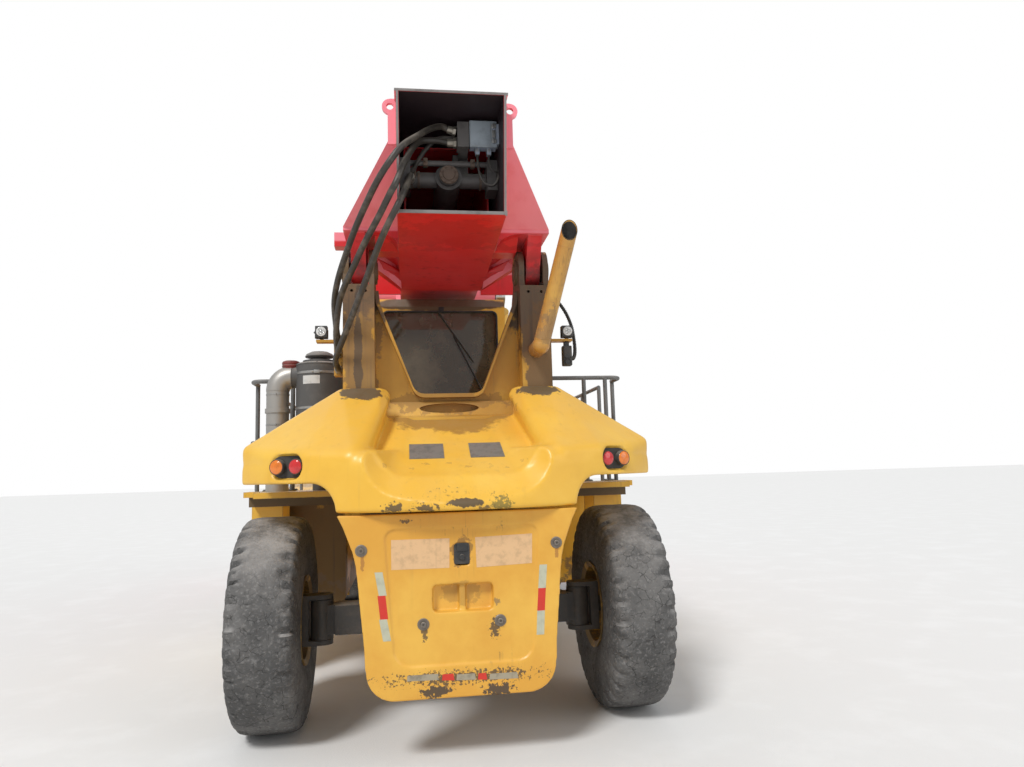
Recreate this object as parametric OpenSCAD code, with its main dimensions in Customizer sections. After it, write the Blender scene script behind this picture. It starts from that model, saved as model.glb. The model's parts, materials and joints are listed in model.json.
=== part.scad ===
// Reach stacker for containers: wheeled carrier, telescopic boom and slewing spreader.
// Units are millimetres. X is right, Y is forward and Z is up.
// Sizes below are written from the ground under the middle of the rear axle.
// Every piece is then moved back by mid_y, so the origin is under the middle of the whole machine.

/* [Wheels and axles] */
// Distance between the two axles
wheelbase = 6000; // [5900:20:6100]
// Outer radius of every tire
tire_r = 805; // [795:1:810]
// Width of a tire
tire_w = 500; // [480:2:510]
// Radius of the rim where the tire sits
rim_r = 318; // [310:1:325]
// Distance between the middles of the two rear tires
rear_track = 2760; // [2740:5:2800]
// Side position of the inner front tire's middle
twin_x = 1240; // [1235:1:1260]
// Step from the inner to the outer front tire
twin_step = 585; // [570:1:600]
// Side position of the steering pins
kingpin_x = 1030; // [1015:1:1040]

/* [Frame and counterweight] */
// Height of the top of the frame
frame_top = 1650; // [1640:1:1655]
// Half the width of the main frame
frame_half = 530; // [510:2:550]
// Rearmost point of the counterweight
cw_rear = -1200; // [-1240:2:-1190]
// Radius of the curve of the counterweight seen from above
cw_arc = 1940; // [1900:5:2000]
// Half the width of the counterweight
cw_half = 1570; // [1550:2:1590]
// Underside of the counterweight's side wings
wing_low = 1870; // [1860:1:1890]
// Underside of the lower weight
plate_low = 437; // [415:1:460]

/* [Boom] */
// Height of the boom's main pin
pivot_z = 3620; // [3610:1:3630]
// Half the width of the boom's outer section
boom_half = 400; // [392:1:405]
// Underside of the boom
boom_low = 3800; // [3790:1:3810]
// Top of the boom
boom_top = 4660; // [4640:1:4680]
// Front end of the boom's outer section
boom_front = 7000; // [6900:10:7100]
// Wall thickness of the boom
boom_wall = 20; // [16:1:22]
// Front end of the boom's inner section
inner_front = 8350; // [8300:5:8400]

/* [Lift cylinders] */
// Side position of a lift cylinder
lift_x = 820; // [816:1:824]
// Radius of a lift cylinder's barrel
lift_r = 128; // [118:1:132]
// Radius of a lift cylinder's rod
rod_r = 70; // [60:1:78]

/* [Spreader] */
// Forward position of the spreader's middle
spread_y = 8900; // [8880:1:8920]
// Height of the pin that carries the spreader
tip_z = 3300; // [3290:1:3310]
// Side position of the twistlocks
lock_x = 2926.5; // [2920:0.5:2933]
// Half the distance between twistlocks across the spreader
lock_y = 1129.5; // [1125:0.5:1135]

/* [Cab] */
// Half the width of the cab
cab_half = 660; // [645:1:664]
// Floor of the cab
cab_low = 1900; // [1890:1:1910]
// Roof of the cab
cab_top = 3690; // [3650:1:3700]
// Wall thickness of the cab
cab_wall = 60; // [50:1:70]

/* [Hidden] */
$fn = 48;

yellow = [0.9, 0.62, 0.16];
red = [0.8, 0.1, 0.1];
dark = [0.16, 0.16, 0.17];
grey = [0.45, 0.46, 0.46];
steel = [0.62, 0.62, 0.6];

end_half = 1219;
mid_y = (cw_rear + spread_y + end_half) / 2;
arc_y = cw_rear + cw_arc;
run = 0.05;
weight_gap = 15;
tower_in = 600;
tower_out = 850;
tower_back = -200;
tower_front = 350;
lift_foot = [wheelbase - 600, 1200];
lift_eye = [2800, 4100];
lift_len = norm(lift_eye - lift_foot);
lift_ang = atan2(lift_eye[1] - lift_foot[1], lift_eye[0] - lift_foot[0]);
main_top = tip_z - 575;
main_low = main_top - 440;

module at_mid() translate([0, -mid_y, 0]) children();
module both() { children(); mirror([1, 0, 0]) children(); }
// A flat shape drawn in forward and up, made thick from x0 to x1
module slab(x0, x1) translate([x0, 0, 0]) rotate([90, 0, 90]) linear_extrude(x1 - x0) children();
// A flat shape drawn in right and up, made thick from y0 to y1
module wallxz(y0, y1) translate([0, y1, 0]) rotate([90, 0, 0]) linear_extrude(y1 - y0) children();
module box(x0, x1, y0, y1, z0, z1) translate([x0, y0, z0]) cube([x1 - x0, y1 - y0, z1 - z0]);
module rodx(x0, x1, y, z, r) translate([x0, y, z]) rotate([0, 90, 0]) cylinder(h = x1 - x0, r = r);
module rody(x, y0, y1, z, r) translate([x, y1, z]) rotate([90, 0, 0]) cylinder(h = y1 - y0, r = r);
module rodz(x, y, z0, z1, r) translate([x, y, z0]) cylinder(h = z1 - z0, r = r);
// Points of an arc, for outlines with round corners
function arc(cx, cy, rx, ry, a0, a1, n = 6) = [for (i = [0:n]) let (a = a0 + (a1 - a0) * i / n)
  [cx + rx * cos(a), cy + ry * sin(a)]];
function flip(p) = [for (i = [len(p) - 1:-1:0]) [-p[i][0], p[i][1]]];
function soft(x0, x1, y0, y1, r) = concat(arc(x1 - r, y1 - r, r, r, 0, 90, 4),
  arc(x0 + r, y1 - r, r, r, 90, 180, 4), arc(x0 + r, y0 + r, r, r, 180, 270, 4),
  arc(x1 - r, y0 + r, r, r, 270, 360, 4));

// Frame
module rail_side() {
  polygon([[-700, 1060], [1050, 1060], [1250, 600], [wheelbase - 900, 600],
    [wheelbase - 620, 1020], [wheelbase + 480, 1020], [wheelbase + 560, 1250],
    [wheelbase + 480, frame_top - 60], [wheelbase - 200, frame_top], [-700, frame_top]]);
}
module chassis() color(yellow) {
  intersection() {
    union() {
      both() slab(frame_half - 60, frame_half) rail_side();
      box(-frame_half + 60, frame_half - 60, 1150, 1230, 640, frame_top);
      box(-frame_half + 60, frame_half - 60, wheelbase - 1060, wheelbase - 1000, 600, frame_top);
      box(-frame_half + 60, frame_half - 60, wheelbase - 700, wheelbase + 470, 1020, 1080);
      box(-frame_half + 60, frame_half - 60, wheelbase + 400, wheelbase + 470, 1080, frame_top - 60);
      box(-frame_half + 60, frame_half - 60, 3300, 3360, 600, frame_top);
    }
    box(-frame_half, frame_half, 1100, wheelbase + 600, 500, 1700);
  }
  box(-330, 330, -940, 1150, 1060, frame_top);
  box(-frame_half, frame_half, 1080, 1150, 1060, frame_top);
  box(-140, 140, -230, 230, 975, 1060);
  both() for (y = [1260, 2700]) box(frame_half - 60, frame_half, y, y + 100, frame_top - 20, cab_low);
  both() {
    box(frame_half, 945, wheelbase - 760, wheelbase - 440, 1015, 1060);
    for (x = [[lift_x - 105, lift_x - 65], [lift_x + 65, lift_x + 105]]) slab(x[0], x[1]) {
      polygon([[lift_foot[0] - 150, 1015], [lift_foot[0] + 150, 1015],
        [lift_foot[0] + 125, 1200], [lift_foot[0] - 125, 1200]]);
      translate(lift_foot) circle(r = 125);
    }
    rodx(lift_x - 115, lift_x + 115, lift_foot[0], lift_foot[1], 60);
    box(frame_half, 1000, 1600, 1680, 1500, frame_top);
    box(frame_half, 1000, 4200, 4280, 1500, frame_top);
  }
  box(-300, 300, -900, -260, frame_top, frame_top + weight_gap);
}
module tower_profile() {
  polygon([[tower_back, frame_top], [tower_front + 150, frame_top], [tower_front, 2700],
    [tower_front - 120, pivot_z - 160], [tower_back, pivot_z - 160]]);
}
module fork_profile() {
  polygon([[tower_back + 20, pivot_z - 160], [tower_front - 130, pivot_z - 160], [150, pivot_z + 60],
    [-150, pivot_z + 60]]);
  translate([0, pivot_z]) circle(r = 180);
}
module vee(g) {
  polygon(concat([[590 - g, pivot_z + 20], [-590 + g, pivot_z + 20], [-560 + g, 3330]],
    arc(-200, 2660 + g, 100, 90, 200, 270, 4), arc(200, 2660 + g, 100, 90, 270, 340, 4),
    [[560 - g, 3330]]));
}
module boom_tower() color(yellow) {
  difference() {
    union() {
      both() {
        slab(tower_in, tower_out) tower_profile();
        slab(tower_in, tower_in + 45) fork_profile();
        slab(tower_out - 45, tower_out) fork_profile();
        rodx(tower_in - 25, tower_out + 25, 0, pivot_z, 70);
        rodx(tower_out, tower_out + 18, 0, pivot_z, 110);
        rodx(tower_in - 18, tower_in, 0, pivot_z, 110);
        box(tower_out, 1090, 60, 150, 3030, 3050);
      }
      wallxz(10, 40) difference() {
        polygon([[-tower_in, frame_top], [tower_in, frame_top], [tower_in, pivot_z - 180],
          [-tower_in, pivot_z - 180]]);
        vee(0);
      }
      intersection() {
        wallxz(-75, 10) difference() { vee(-32); vee(0); }
        box(-tower_in, tower_in, -80, 20, 2500, pivot_z - 185);
      }
      slab(-tower_in, tower_in) polygon([[tower_back, frame_top], [10, frame_top],
        [10, 2506], [-34, 2506], [-84, 2388], [tower_back, 2366]]);
      box(-tower_out - 90, -tower_out, 20.3, 120, 2740, 3080);
    }
    wallxz(-160, 24) polygon(arc(0, 2449, 245, 42, 0, 345, 23));
    both() rody(tower_in + 70, -210, -150, pivot_z - 215, 12);
    both() rody(tower_in + 180, -210, -150, pivot_z - 215, 12);
  }
}

// Counterweight
low_z = frame_top + weight_gap;
module cw_plan(g, y1) intersection() {
  translate([0, arc_y]) circle(r = cw_arc - g, $fn = 180);
  translate([-cw_half + g, cw_rear]) square([2 * (cw_half - g), y1 - cw_rear]);
}
function arc_at(x, g) = arc_y - sqrt(pow(cw_arc - g, 2) - x * x);
module shoulder() hull() {
  for (x = [1460, 1300, 1000, 720]) translate([x, arc_at(x, 110), 2010 + (x - 720) / 16])
    sphere(r = 110, $fn = 28);
  for (x = [cw_half - 60, 1300]) translate([x, 290, 2158]) sphere(r = 60, $fn = 24);
  translate([cw_half - 60, arc_at(cw_half - 60, 60), 2110]) sphere(r = 60, $fn = 24);
  translate([720, 290, 2060]) sphere(r = 60, $fn = 24);
  for (p = [[540, tower_back - 60], [840, tower_back - 60], [840, 285], [540, 285]])
    translate([p[0], p[1], 2535]) sphere(r = 65, $fn = 28);
}
// Outline of the dished hollow seen from behind, grown by g
function dish(g) = concat(arc(425, 2060, 150 + g, 150 + g, -90, 0, 6), arc(690, 2760, 130 + g, 130, 0, 90, 4));
module channel() hull() {
  for (s = [-1, 1]) {
    translate([s * 250, -60, 2570]) sphere(r = 120, $fn = 32);
    translate([s * 425, cw_rear - 120, 1902]) sphere(r = 150, $fn = 36);
    translate([s * 480, -60, 2900]) sphere(r = 120, $fn = 32);
    translate([s * 680, cw_rear - 120, 2500]) sphere(r = 130, $fn = 32);
  }
}
// The rolled lip: the hollow opens out towards the rear face
module mouth() hull() for (k = [[-1000, -8], [-1060, 26], [-1130, 82], [-1205, 165], [-1300, 300]])
  wallxz(k[0] - 2, k[0]) polygon(concat(dish(k[1]), flip(dish(k[1]))));
module well_side() polygon(concat([[832, 1600], [832, low_z]],
  arc(1010, low_z, 178, wing_low - low_z, 180, 90, 8), [[1700, wing_low], [1700, 1600]]));
module lamp_place() translate([1170, arc_at(1170, 0) + 90, 1990]) rotate([0, 0, 24]) children();
module counterweight_upper() color(yellow) difference() {
  union() {
    hull() {
      translate([0, 0, low_z]) linear_extrude(10) cw_plan(0, 350);
      for (a = [0:15:90]) translate([0, 0, 1970 + 120 * sin(a)]) linear_extrude(1) cw_plan(120 - 120 * cos(a), 350);
    }
    both() shoulder();
    intersection() {
      slab(-760, 760) polygon([[cw_rear, low_z], [cw_rear, 1800], [cw_rear + 50, 1830],
        [tower_back, 2372], [tower_back, low_z]]);
      translate([0, 0, low_z]) linear_extrude(900) cw_plan(0, 350);
    }
  }
  channel();
  mouth();
  both() wallxz(cw_rear - 20, 400) well_side();
  box(-tower_out, tower_out, tower_back, 400, 1600, 2700);
  both() lamp_place() translate([0, -220, 0]) wallxz(-60, 215) polygon(soft(-150, 150, -88, 88, 84));
}
plate_side = concat([[0, 1650], [822, 1650]], [[782, 1570], [748, 1480], [718, 1400], [700, 1320], [686, 1200],
  [676, 1080], [648, 800], [640, 640]], arc(446, plate_low + 190, 190, 190, 10, -90, 7), [[0, plate_low]]);
panel = concat(arc(471, 1480, 70, 70, 0, 90, 5), arc(-441, 1480, 70, 70, 90, 180, 5),
  arc(-340, 765, 120, 120, 190, 270, 6), arc(370, 765, 120, 120, 270, 350, 6));
module counterweight_lower() color(yellow) difference() {
  union() {
    wallxz(-1050, -950) { polygon(plate_side); polygon(flip(plate_side)); }
    box(-330, 330, -950, -700, 700, 1045);
    box(-330, 330, -950, -940, 1045, 1640);
  }
  wallxz(-1060, -1036) polygon(panel);
  difference() {
    wallxz(-1060, -970) polygon(soft(-192, 217, 988, 1168, 30));
    box(-14, 30, -1015, -960, 980, 1175);
  }
  wallxz(-1060, -985) polygon(soft(-42, 62, 1290, 1435, 12));
}

// Wheels
module tire(x) translate([x, 0, 0]) rotate([0, 90, 0]) rotate_extrude($fn = 72) {
  w = tire_w / 2;
  polygon([for (p = [[rim_r, -w + 42], [rim_r + 45, -w + 22], [rim_r + 120, -w + 5], [rim_r + 200, -w],
    [rim_r + 290, -w + 4], [tire_r - 85, -w + 14], [tire_r - 40, -w + 28], [tire_r - 12, -w + 62],
    [tire_r, -w + 130], [tire_r, w - 130], [tire_r - 12, w - 62], [tire_r - 40, w - 28],
    [tire_r - 85, w - 14], [rim_r + 290, w - 4], [rim_r + 200, w], [rim_r + 120, w - 5],
    [rim_r + 45, w - 22], [rim_r, w - 42]]) p]);
}
module rim_barrel(x) translate([x, 0, 0]) rotate([0, 90, 0]) rotate_extrude($fn = 72) {
  w = tire_w / 2;
  polygon([[rim_r - 22, -w + 30], [rim_r + 24, -w + 12], [rim_r + 24, -w + 24], [rim_r, -w + 42],
    [rim_r, w - 42], [rim_r + 24, w - 24], [rim_r + 24, w - 12], [rim_r - 22, w - 30]]);
}
module rear_rim() color(yellow) difference() {
  union() {
    rim_barrel(rear_track / 2);
    rodx(rear_track / 2 + 40, rear_track / 2 + 62, 0, 0, rim_r - 20);
    rodx(rear_track / 2 - 110, rear_track / 2 + 62, 0, 0, 165);
    rodx(rear_track / 2 + 62, rear_track / 2 + 120, 0, 0, 95);
  }
  rodx(rear_track / 2 - 120, rear_track / 2 + 50, 0, 0, 62 + run);
  for (a = [0:45:315]) rotate([a, 0, 0]) rodx(rear_track / 2 + 30, rear_track / 2 + 70, 235, 0, 32);
}
module front_rims() color(yellow) difference() {
  union() {
    rim_barrel(twin_x);
    rim_barrel(twin_x + twin_step);
    rodx(twin_x + tire_w / 2 - 30, twin_x + twin_step - tire_w / 2 + 30, 0, 0, rim_r - 10);
    rodx(twin_x + 60, twin_x + twin_step - 110, 0, 0, 215);
    rodx(twin_x + twin_step - 110, twin_x + twin_step + 30, 0, 0, 175);
  }
  difference() {
    rodx(twin_x + tire_w / 2 - 60, twin_x + twin_step - tire_w / 2 + 60, 0, 0, rim_r - 32);
    rodx(twin_x + tire_w / 2, twin_x + tire_w / 2 + 30, 0, 0, rim_r - 5);
    rodx(twin_x, twin_x + twin_step, 0, 0, 215);
  }
  rodx(twin_x - 10, twin_x + 250, 0, 0, 110 + run);
}
module front_axle() color(yellow) translate([0, wheelbase, tire_r]) {
  rodx(-twin_x + 290, twin_x - 290, 0, 0, 205);
  both() {
    rodx(twin_x - 290, twin_x - 60, 0, 0, 250);
    rodx(twin_x - 60, twin_x + 245, 0, 0, 110);
  }
  box(-frame_half + 70, frame_half - 70, -160, 160, 150, 1020 - tire_r);
  translate([0, -150, 0]) rotate([90, 0, 0]) cylinder(h = 260, r = 150);
}
module rear_axle() color(dark) translate([0, 0, tire_r]) {
  difference() {
    union() {
      box(-kingpin_x + 110, kingpin_x - 110, -120, 120, -110, 110);
      both() rodz(kingpin_x, 0, -150, 150, 88);
      both() box(kingpin_x - 115, kingpin_x - 40, -75, 75, -110, 110);
      rodx(-420, 420, 215, 0, 75);
      rodx(-640, 640, 215, 0, 28);
      both() box(330, 380, 110, 215, -60, 60);
      box(-110, 110, -200, 200, 90, 975 - tire_r);
    }
    both() rodz(kingpin_x, 0, -160, 160, 45 + run);
  }
}
module knuckle() color(dark) translate([0, 0, tire_r]) {
  x2 = max(rear_track / 2 - 190, kingpin_x + 115);
  rodz(kingpin_x, 0, -185, 185, 45);
  for (z = [[155, 190], [-190, -155]]) {
    rodz(kingpin_x, 0, z[0], z[1], 85);
    box(kingpin_x, x2, -85, 85, z[0], z[1]);
  }
  box(kingpin_x + 95, x2, -85, 85, -160, 160);
  rodx(x2 - 20, rear_track / 2 + 40, 0, 0, 62);
  box(kingpin_x - 60, kingpin_x + 30, 60, 190, -190, -155);
}

// Cab
cab_back = 1230;
cab_nose = 2960;
module cab_side() polygon([[cab_back, cab_low], [cab_nose - 120, cab_low], [cab_nose, 2450],
  [cab_nose - 190, cab_top - 60], [cab_nose - 260, cab_top], [cab_back + 60, cab_top], [cab_back, cab_top - 90]]);
module cab_shell() color(yellow) {
  cab_frame();
  for (z = [2150, 3300]) {
    rodz(-cab_half - 40, 1660, z - 20, z + 80, 10);
    for (d = [-24, 62]) {
      rodz(-cab_half - 40, 1660, z + d, z + d + 22, 18);
      box(-cab_half - 40, -cab_half, 1600, 1660, z + d, z + d + 22);
    }
  }
}
module cab_frame() difference() {
  slab(-cab_half, cab_half) cab_side();
  slab(-cab_half + cab_wall, cab_half - cab_wall) polygon([[cab_back + cab_wall, cab_low + 60],
    [cab_nose - 180, cab_low + 60], [cab_nose - 65, 2450], [cab_nose - 245, cab_top - 120],
    [cab_nose - 300, cab_top - 70], [cab_back + 110, cab_top - 70], [cab_back + cab_wall, cab_top - 130]]);
  wallxz(cab_back - 5, cab_back + cab_wall + 5) polygon(soft(-cab_half + 75, cab_half - 75, 2400, 3560, 60));
  wallxz(cab_nose - 320, cab_nose + 20) polygon(soft(-cab_half + 80, cab_half - 80, 2480, 3530, 60));
  slab(cab_half - cab_wall - 5, cab_half + 5) polygon([[cab_back + 130, 2480], [2480, 2480],
    [2640, 2700], [2600, 3540], [cab_back + 130, 3540]]);
  slab(-cab_half - 5, -cab_half + cab_wall + 5) polygon(soft(1640, 2620, cab_low + 80, cab_top - 100, 60));
  slab(-cab_half - 5, -cab_half + cab_wall + 5) polygon(soft(cab_back + 120, 1550, 2480, 3520, 50));
  box(-cab_half + 140, cab_half - 140, cab_back + 300, cab_nose - 600, cab_top - 80, cab_top + 10);
}
module cab_glass() color(dark) {
  wallxz(cab_back + 26, cab_back + 34) polygon(soft(-cab_half + 75, cab_half - 75, 2400, 3560, 60));
  intersection() {
    wallxz(cab_nose - 320, cab_nose + 20) polygon(soft(-cab_half + 80, cab_half - 80, 2480, 3530, 60));
    slab(-cab_half, cab_half) polygon([[cab_nose - 38, 2440], [cab_nose - 30, 2440],
      [cab_nose - 220, cab_top - 70], [cab_nose - 228, cab_top - 70]]);
  }
  slab(cab_half - 34, cab_half - 26) polygon([[cab_back + 130, 2480], [2480, 2480],
    [2640, 2700], [2600, 3540], [cab_back + 130, 3540]]);
  slab(-cab_half + 26, -cab_half + 34) polygon(soft(cab_back + 120, 1550, 2480, 3520, 50));
  box(-cab_half + 140, cab_half - 140, cab_back + 300, cab_nose - 600, cab_top - 50, cab_top - 42);
}
module cab_door() color(yellow) {
  difference() {
    slab(-cab_half + 8, -cab_half + cab_wall) polygon(soft(1646, 2614, cab_low + 86, cab_top - 106, 54));
    slab(-cab_half, -cab_half + cab_wall + 5) polygon(soft(1720, 2540, 2300, cab_top - 190, 50));
  }
  for (z = [2150, 3300]) difference() {
    union() {
      box(-cab_half - 30, -cab_half + 20, 1650, 1676, z, z + 60);
      rodz(-cab_half - 40, 1660, z, z + 60, 18);
    }
    rodz(-cab_half - 40, 1660, z - 5, z + 65, 10 + run);
  }
  box(-cab_half - 40, -cab_half + 12, 2560, 2580, 2200, 2350);
}
module door_glass() color(dark)
  slab(-cab_half + 26, -cab_half + 34) polygon(soft(1720, 2540, 2300, cab_top - 190, 50));
module operator_station() color(dark) {
  box(-300, 300, 1480, 2150, cab_low + 60, cab_low + 240);
  box(-260, 260, 1560, 2060, cab_low + 240, cab_low + 520);
  slab(-250, 250) polygon([[1500, cab_low + 520], [1640, cab_low + 520], [1580, cab_low + 1120],
    [1480, cab_low + 1120]]);
  box(-150, 150, 1470, 1560, cab_low + 1120, cab_low + 1330);
  both() box(270, 380, 1560, 2060, cab_low + 60, cab_low + 640);
  slab(-60, 60) polygon([[2420, cab_low + 60], [2540, cab_low + 60], [2400, cab_low + 800],
    [2320, cab_low + 790]]);
  translate([0, 2330, cab_low + 830]) rotate([-25, 0, 0]) rotate_extrude($fn = 40)
    translate([190, 0]) circle(r = 18, $fn = 14);
  translate([0, 2330, cab_low + 830]) rotate([-25, 0, 0]) {
    translate([0, 0, -40]) cylinder(h = 55, r = 45);
    for (a = [0, 120, 240]) rotate([0, 0, a]) translate([20, -12, -8]) cube([165, 24, 16]);
  }
}

// Engine, tanks, decks
module engine() color(dark) {
  box(-360, 360, 1500, 3000, 760, 1560);
  for (y = [1600, 2800]) box(-frame_half + 60, frame_half - 60, y, y + 100, 900, 980);
}
module hood() color(yellow) {
  difference() {
    box(-560, 560, 420, 1180, frame_top, 2330);
    box(-520, 520, 460, 1140, frame_top - 10, 2290);
    for (z = [1800:90:2200]) box(-600, 600, 520, 1080, z, z + 40);
  }
}
module hydraulic_tank() color(yellow) {
  difference() {
    wallxz(1900, 3500) polygon(soft(-1880, -1000, 620, frame_top - 10, 60));
    wallxz(1920, 3480) polygon(soft(-1860, -1020, 640, frame_top - 30, 40));
  }
  box(-1000, -frame_half, 2000, 2120, 1300, 1560);
  box(-1000, -frame_half, 3280, 3400, 1300, 1560);
  box(-1880, -1000, 2380, 2420, 615, 645);
}
module fuel_tank() color(yellow) {
  difference() {
    wallxz(2300, 3500) polygon(soft(1000, 1850, 640, frame_top - 10, 90));
    wallxz(2320, 3480) polygon(soft(1020, 1830, 660, frame_top - 30, 70));
  }
  box(frame_half, 1000, 2380, 2500, 1300, 1560);
  box(frame_half, 1000, 3280, 3400, 1300, 1560);
}
// Side deck with its steps and the guard over the front wheels, drawn on the right side
module deck(x0) {
  difference() {
    union() {
      box(x0, 1830, 1180, wheelbase - 1450, frame_top, frame_top + 50);
      box(lift_x + lift_r + 22, 1830, wheelbase - 1500, wheelbase - 1000, frame_top, frame_top + 50);
      box(tower_out + 20, 1640, 370, 905, 1745, 1795);
      box(tower_out + 20, 1830, 900, 1180, 1745, 1795);
      box(tower_out + 20, 1830, 1140, 1180, frame_top, 1795);
      slab(970, 2085) polygon([[wheelbase - 1040, frame_top - 220], [wheelbase - 1000, frame_top - 220],
        [wheelbase - 960, frame_top + 40], [wheelbase - 620, 1800], [wheelbase + 560, 1800],
        [wheelbase + 900, 1560], [wheelbase + 930, 1580], [wheelbase + 580, 1840], [wheelbase - 640, 1840],
        [wheelbase - 1000, frame_top + 70], [wheelbase - 1040, frame_top + 50]]);
      box(tower_out, tower_out + 20, 370, 480, 1700, 1795);
      box(frame_half, 1000, wheelbase + 300, wheelbase + 360, 1480, 1560);
      box(970, 1000, wheelbase + 300, wheelbase + 360, 1560, 1805);
      for (z = [560, 930, 1300]) box(1560, 1850, 1400, 1800, z, z + 35);
      for (y = [1380, 1800]) box(1560, 1850, y, y + 20, 540, frame_top);
    }
  }
}
module deck_left() color(yellow) mirror([1, 0, 0]) deck(frame_half);
module deck_right() color(yellow) deck(frame_half);
module elbow(p, a, r, rr) translate(p) rotate(a) rotate_extrude(angle = 90, $fn = 40)
  translate([rr, 0]) circle(r = r, $fn = 20);
// Guard rail round the outer back corner of a deck, drawn on the right side
module railing() {
  r = 21;
  z0 = frame_top + 50;
  for (z = [z0 + 550, z0 + 1130]) {
    rodx(960, 1700, 1050, z, r);
    elbow([1700, 1150, z], [0, 0, -90], r, 100);
    rody(1800, 1148, 1370, z, r);
    rody(1800, 1900, 4400, z, r);
  }
  for (x = [960, 1420, 1640]) rodz(x, 1050, z0 + 95, z0 + 1130, r);
  for (y = [1355, 1900, 2700, 3500, 4400]) rodz(1800, y, z0, z0 + 1130, r);
}
module railing_left() color(grey) mirror([1, 0, 0]) railing();
module railing_right() color(grey) railing();
module air_cleaner() color(grey) {
  rodz(-1140, 760, 2440, 2930, 210);
  rodz(-1140, 760, 2930, 2975, 150);
  rodz(-1140, 760, 2975, 3010, 60);
  rodz(-1140, 760, 3010, 3040, 100);
  rodz(-1140, 760, 1795, 2440, 60);
  box(-1220, -1060, 680, 840, 2400, 2440);
  rodx(-1385, -1200, 760, 2830, 100);
  translate([-1380, 760, 2700]) rotate([90, 0, 0]) rotate([0, 0, 90]) rotate_extrude(angle = 90, $fn = 40)
    translate([130, 0]) circle(r = 104);
  rodz(-1510, 760, 1795, 2705, 100);
  rodz(-1510, 760, 2500, 2540, 112);
}
module along_exhaust() translate([722, -420, 2910]) rotate([12.3, 14.07, 0]) children();
module exhaust_pipe() color(grey) difference() {
  union() {
    rody(722, -420, tower_back, 2910, 66);
    translate([722, -420, 2910]) sphere(r = 69);
    along_exhaust() cylinder(h = 1040, r = 66);
  }
  along_exhaust() translate([0, 0, 200]) cylinder(h = 900, r = 60);
  along_exhaust() translate([0, 0, 939]) rotate([54, 0, 0]) translate([0, 0, 100])
    cube([400, 400, 200], center = true);
}
module lamps() color(dark) {
  both() {
    lamp_place() for (i = [-1, 1]) rody(i * 76, -62, -5.3, 0, 52);
    box(1000, 1095, 55, 125, 3065, 3165);
    box(1032, 1062, 80, 110, 3050, 3065);
  }
}

// Boom
module boom_outline() polygon([[-930, boom_low], [950, boom_low - 100], [1100, boom_low],
  [boom_front, boom_low], [boom_front, boom_top], [-1110, boom_top]]);
module ear_profile() {
  translate([0, pivot_z]) circle(r = 150);
  polygon([[-150, pivot_z], [150, pivot_z], [400, boom_low + 20], [400, boom_low + 90],
    [-330, boom_low + 90], [-290, boom_low + 40]]);
}
module saddle() polygon(concat([[boom_half, boom_low - 40]],
  arc(660, boom_low - 60, 660 - boom_half, 120, 170, 90, 6),
  [[835, boom_low + 60], [835, boom_low + 95], [boom_half, boom_low + 95]]));
module boom_base() color(red) difference() {
  union() {
    difference() {
      slab(-boom_half, boom_half) boom_outline();
      slab(-boom_half + boom_wall, boom_half - boom_wall) polygon([[-1300, boom_low + boom_wall],
        [boom_front + 50, boom_low + boom_wall], [boom_front + 50, boom_top - boom_wall],
        [-1300, boom_top - boom_wall]]);
    }
    slab(-boom_half - 12, boom_half + 12) polygon([[-1107, boom_top - 14], [boom_front, boom_top - 14],
      [boom_front, boom_top], [-1110, boom_top]]);
    both() {
      slab(665, 785) ear_profile();
      wallxz(-340, 410) saddle();
      intersection() {
        slab(boom_half, 840) polygon([[-955, 4330], [-925, 4330], [-310, boom_low + 95],
          [-345, boom_low + 90]]);
        wallxz(-1000, 0) polygon([[boom_half, 4400], [boom_half + 62, 4330], [835, boom_low + 90],
          [boom_half, boom_low + 90]]);
      }
      wallxz(-955, -925) difference() {
        union() {
          polygon([[boom_half, 4310], [boom_half + 62, 4310], [boom_half + 62, 4590], [boom_half + 45, 4660],
            [boom_half, 4660]]);
          intersection() {
            translate([boom_half + 45, 4600]) circle(r = 58);
            translate([boom_half, 4500]) square([200, 200]);
          }
        }
        translate([boom_half + 45, 4600]) circle(r = 26);
      }
      slab(boom_half, tower_in - 10) polygon([[-120, boom_low - 40], [60, boom_low - 40], [60, boom_low + 90],
        [-300, boom_low + 90]]);
      hull() {
        slab(655, 675) polygon([[250, boom_low + 45], [300, boom_low - 55], [322, boom_low - 50],
          [272, boom_low + 50]]);
        slab(392, 402) polygon([[450, boom_low - 63], [900, boom_low - 110], [900, boom_low - 88],
          [450, boom_low - 40]]);
      }
      wallxz(950, 975) polygon([[boom_half - 10, boom_low - 140], [780, boom_low - 140],
        [780, boom_low + 100], [boom_half - 10, boom_low + 100]]);
      rodx(boom_half, 750, lift_eye[0], lift_eye[1], 100);
      slab(boom_half, boom_half + 60) polygon([[lift_eye[0] - 320, boom_low], [lift_eye[0] + 320, boom_low],
        [lift_eye[0] + 180, 4280], [lift_eye[0] - 180, 4280]]);
      box(350.3, boom_half - boom_wall + 1, boom_front - 200, boom_front, 3950, 4500);
    }
    box(-930, -800, -60, 60, boom_low + 15, boom_low + 135);
    box(-250, 250, boom_front - 200, boom_front, boom_low + boom_wall - 1, boom_low + boom_wall + 23.7);
    box(-250, 250, boom_front - 200, boom_front, boom_top - boom_wall - 23.7, boom_top - boom_wall + 1);
    slab(-boom_half - 25, boom_half + 25) polygon([[boom_front - 120, boom_low - 25],
      [boom_front, boom_low - 25], [boom_front, boom_low], [boom_front - 120, boom_low]]);
    both() box(boom_half, boom_half + 25, boom_front - 120, boom_front, boom_low - 25, boom_top);
  }
  rodx(-900, -640, 0, pivot_z, 70 + run);
  rodx(640, 900, 0, pivot_z, 70 + run);
}
inner_low = boom_low + boom_wall + 24;
inner_top = boom_top - boom_wall - 24;
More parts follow.
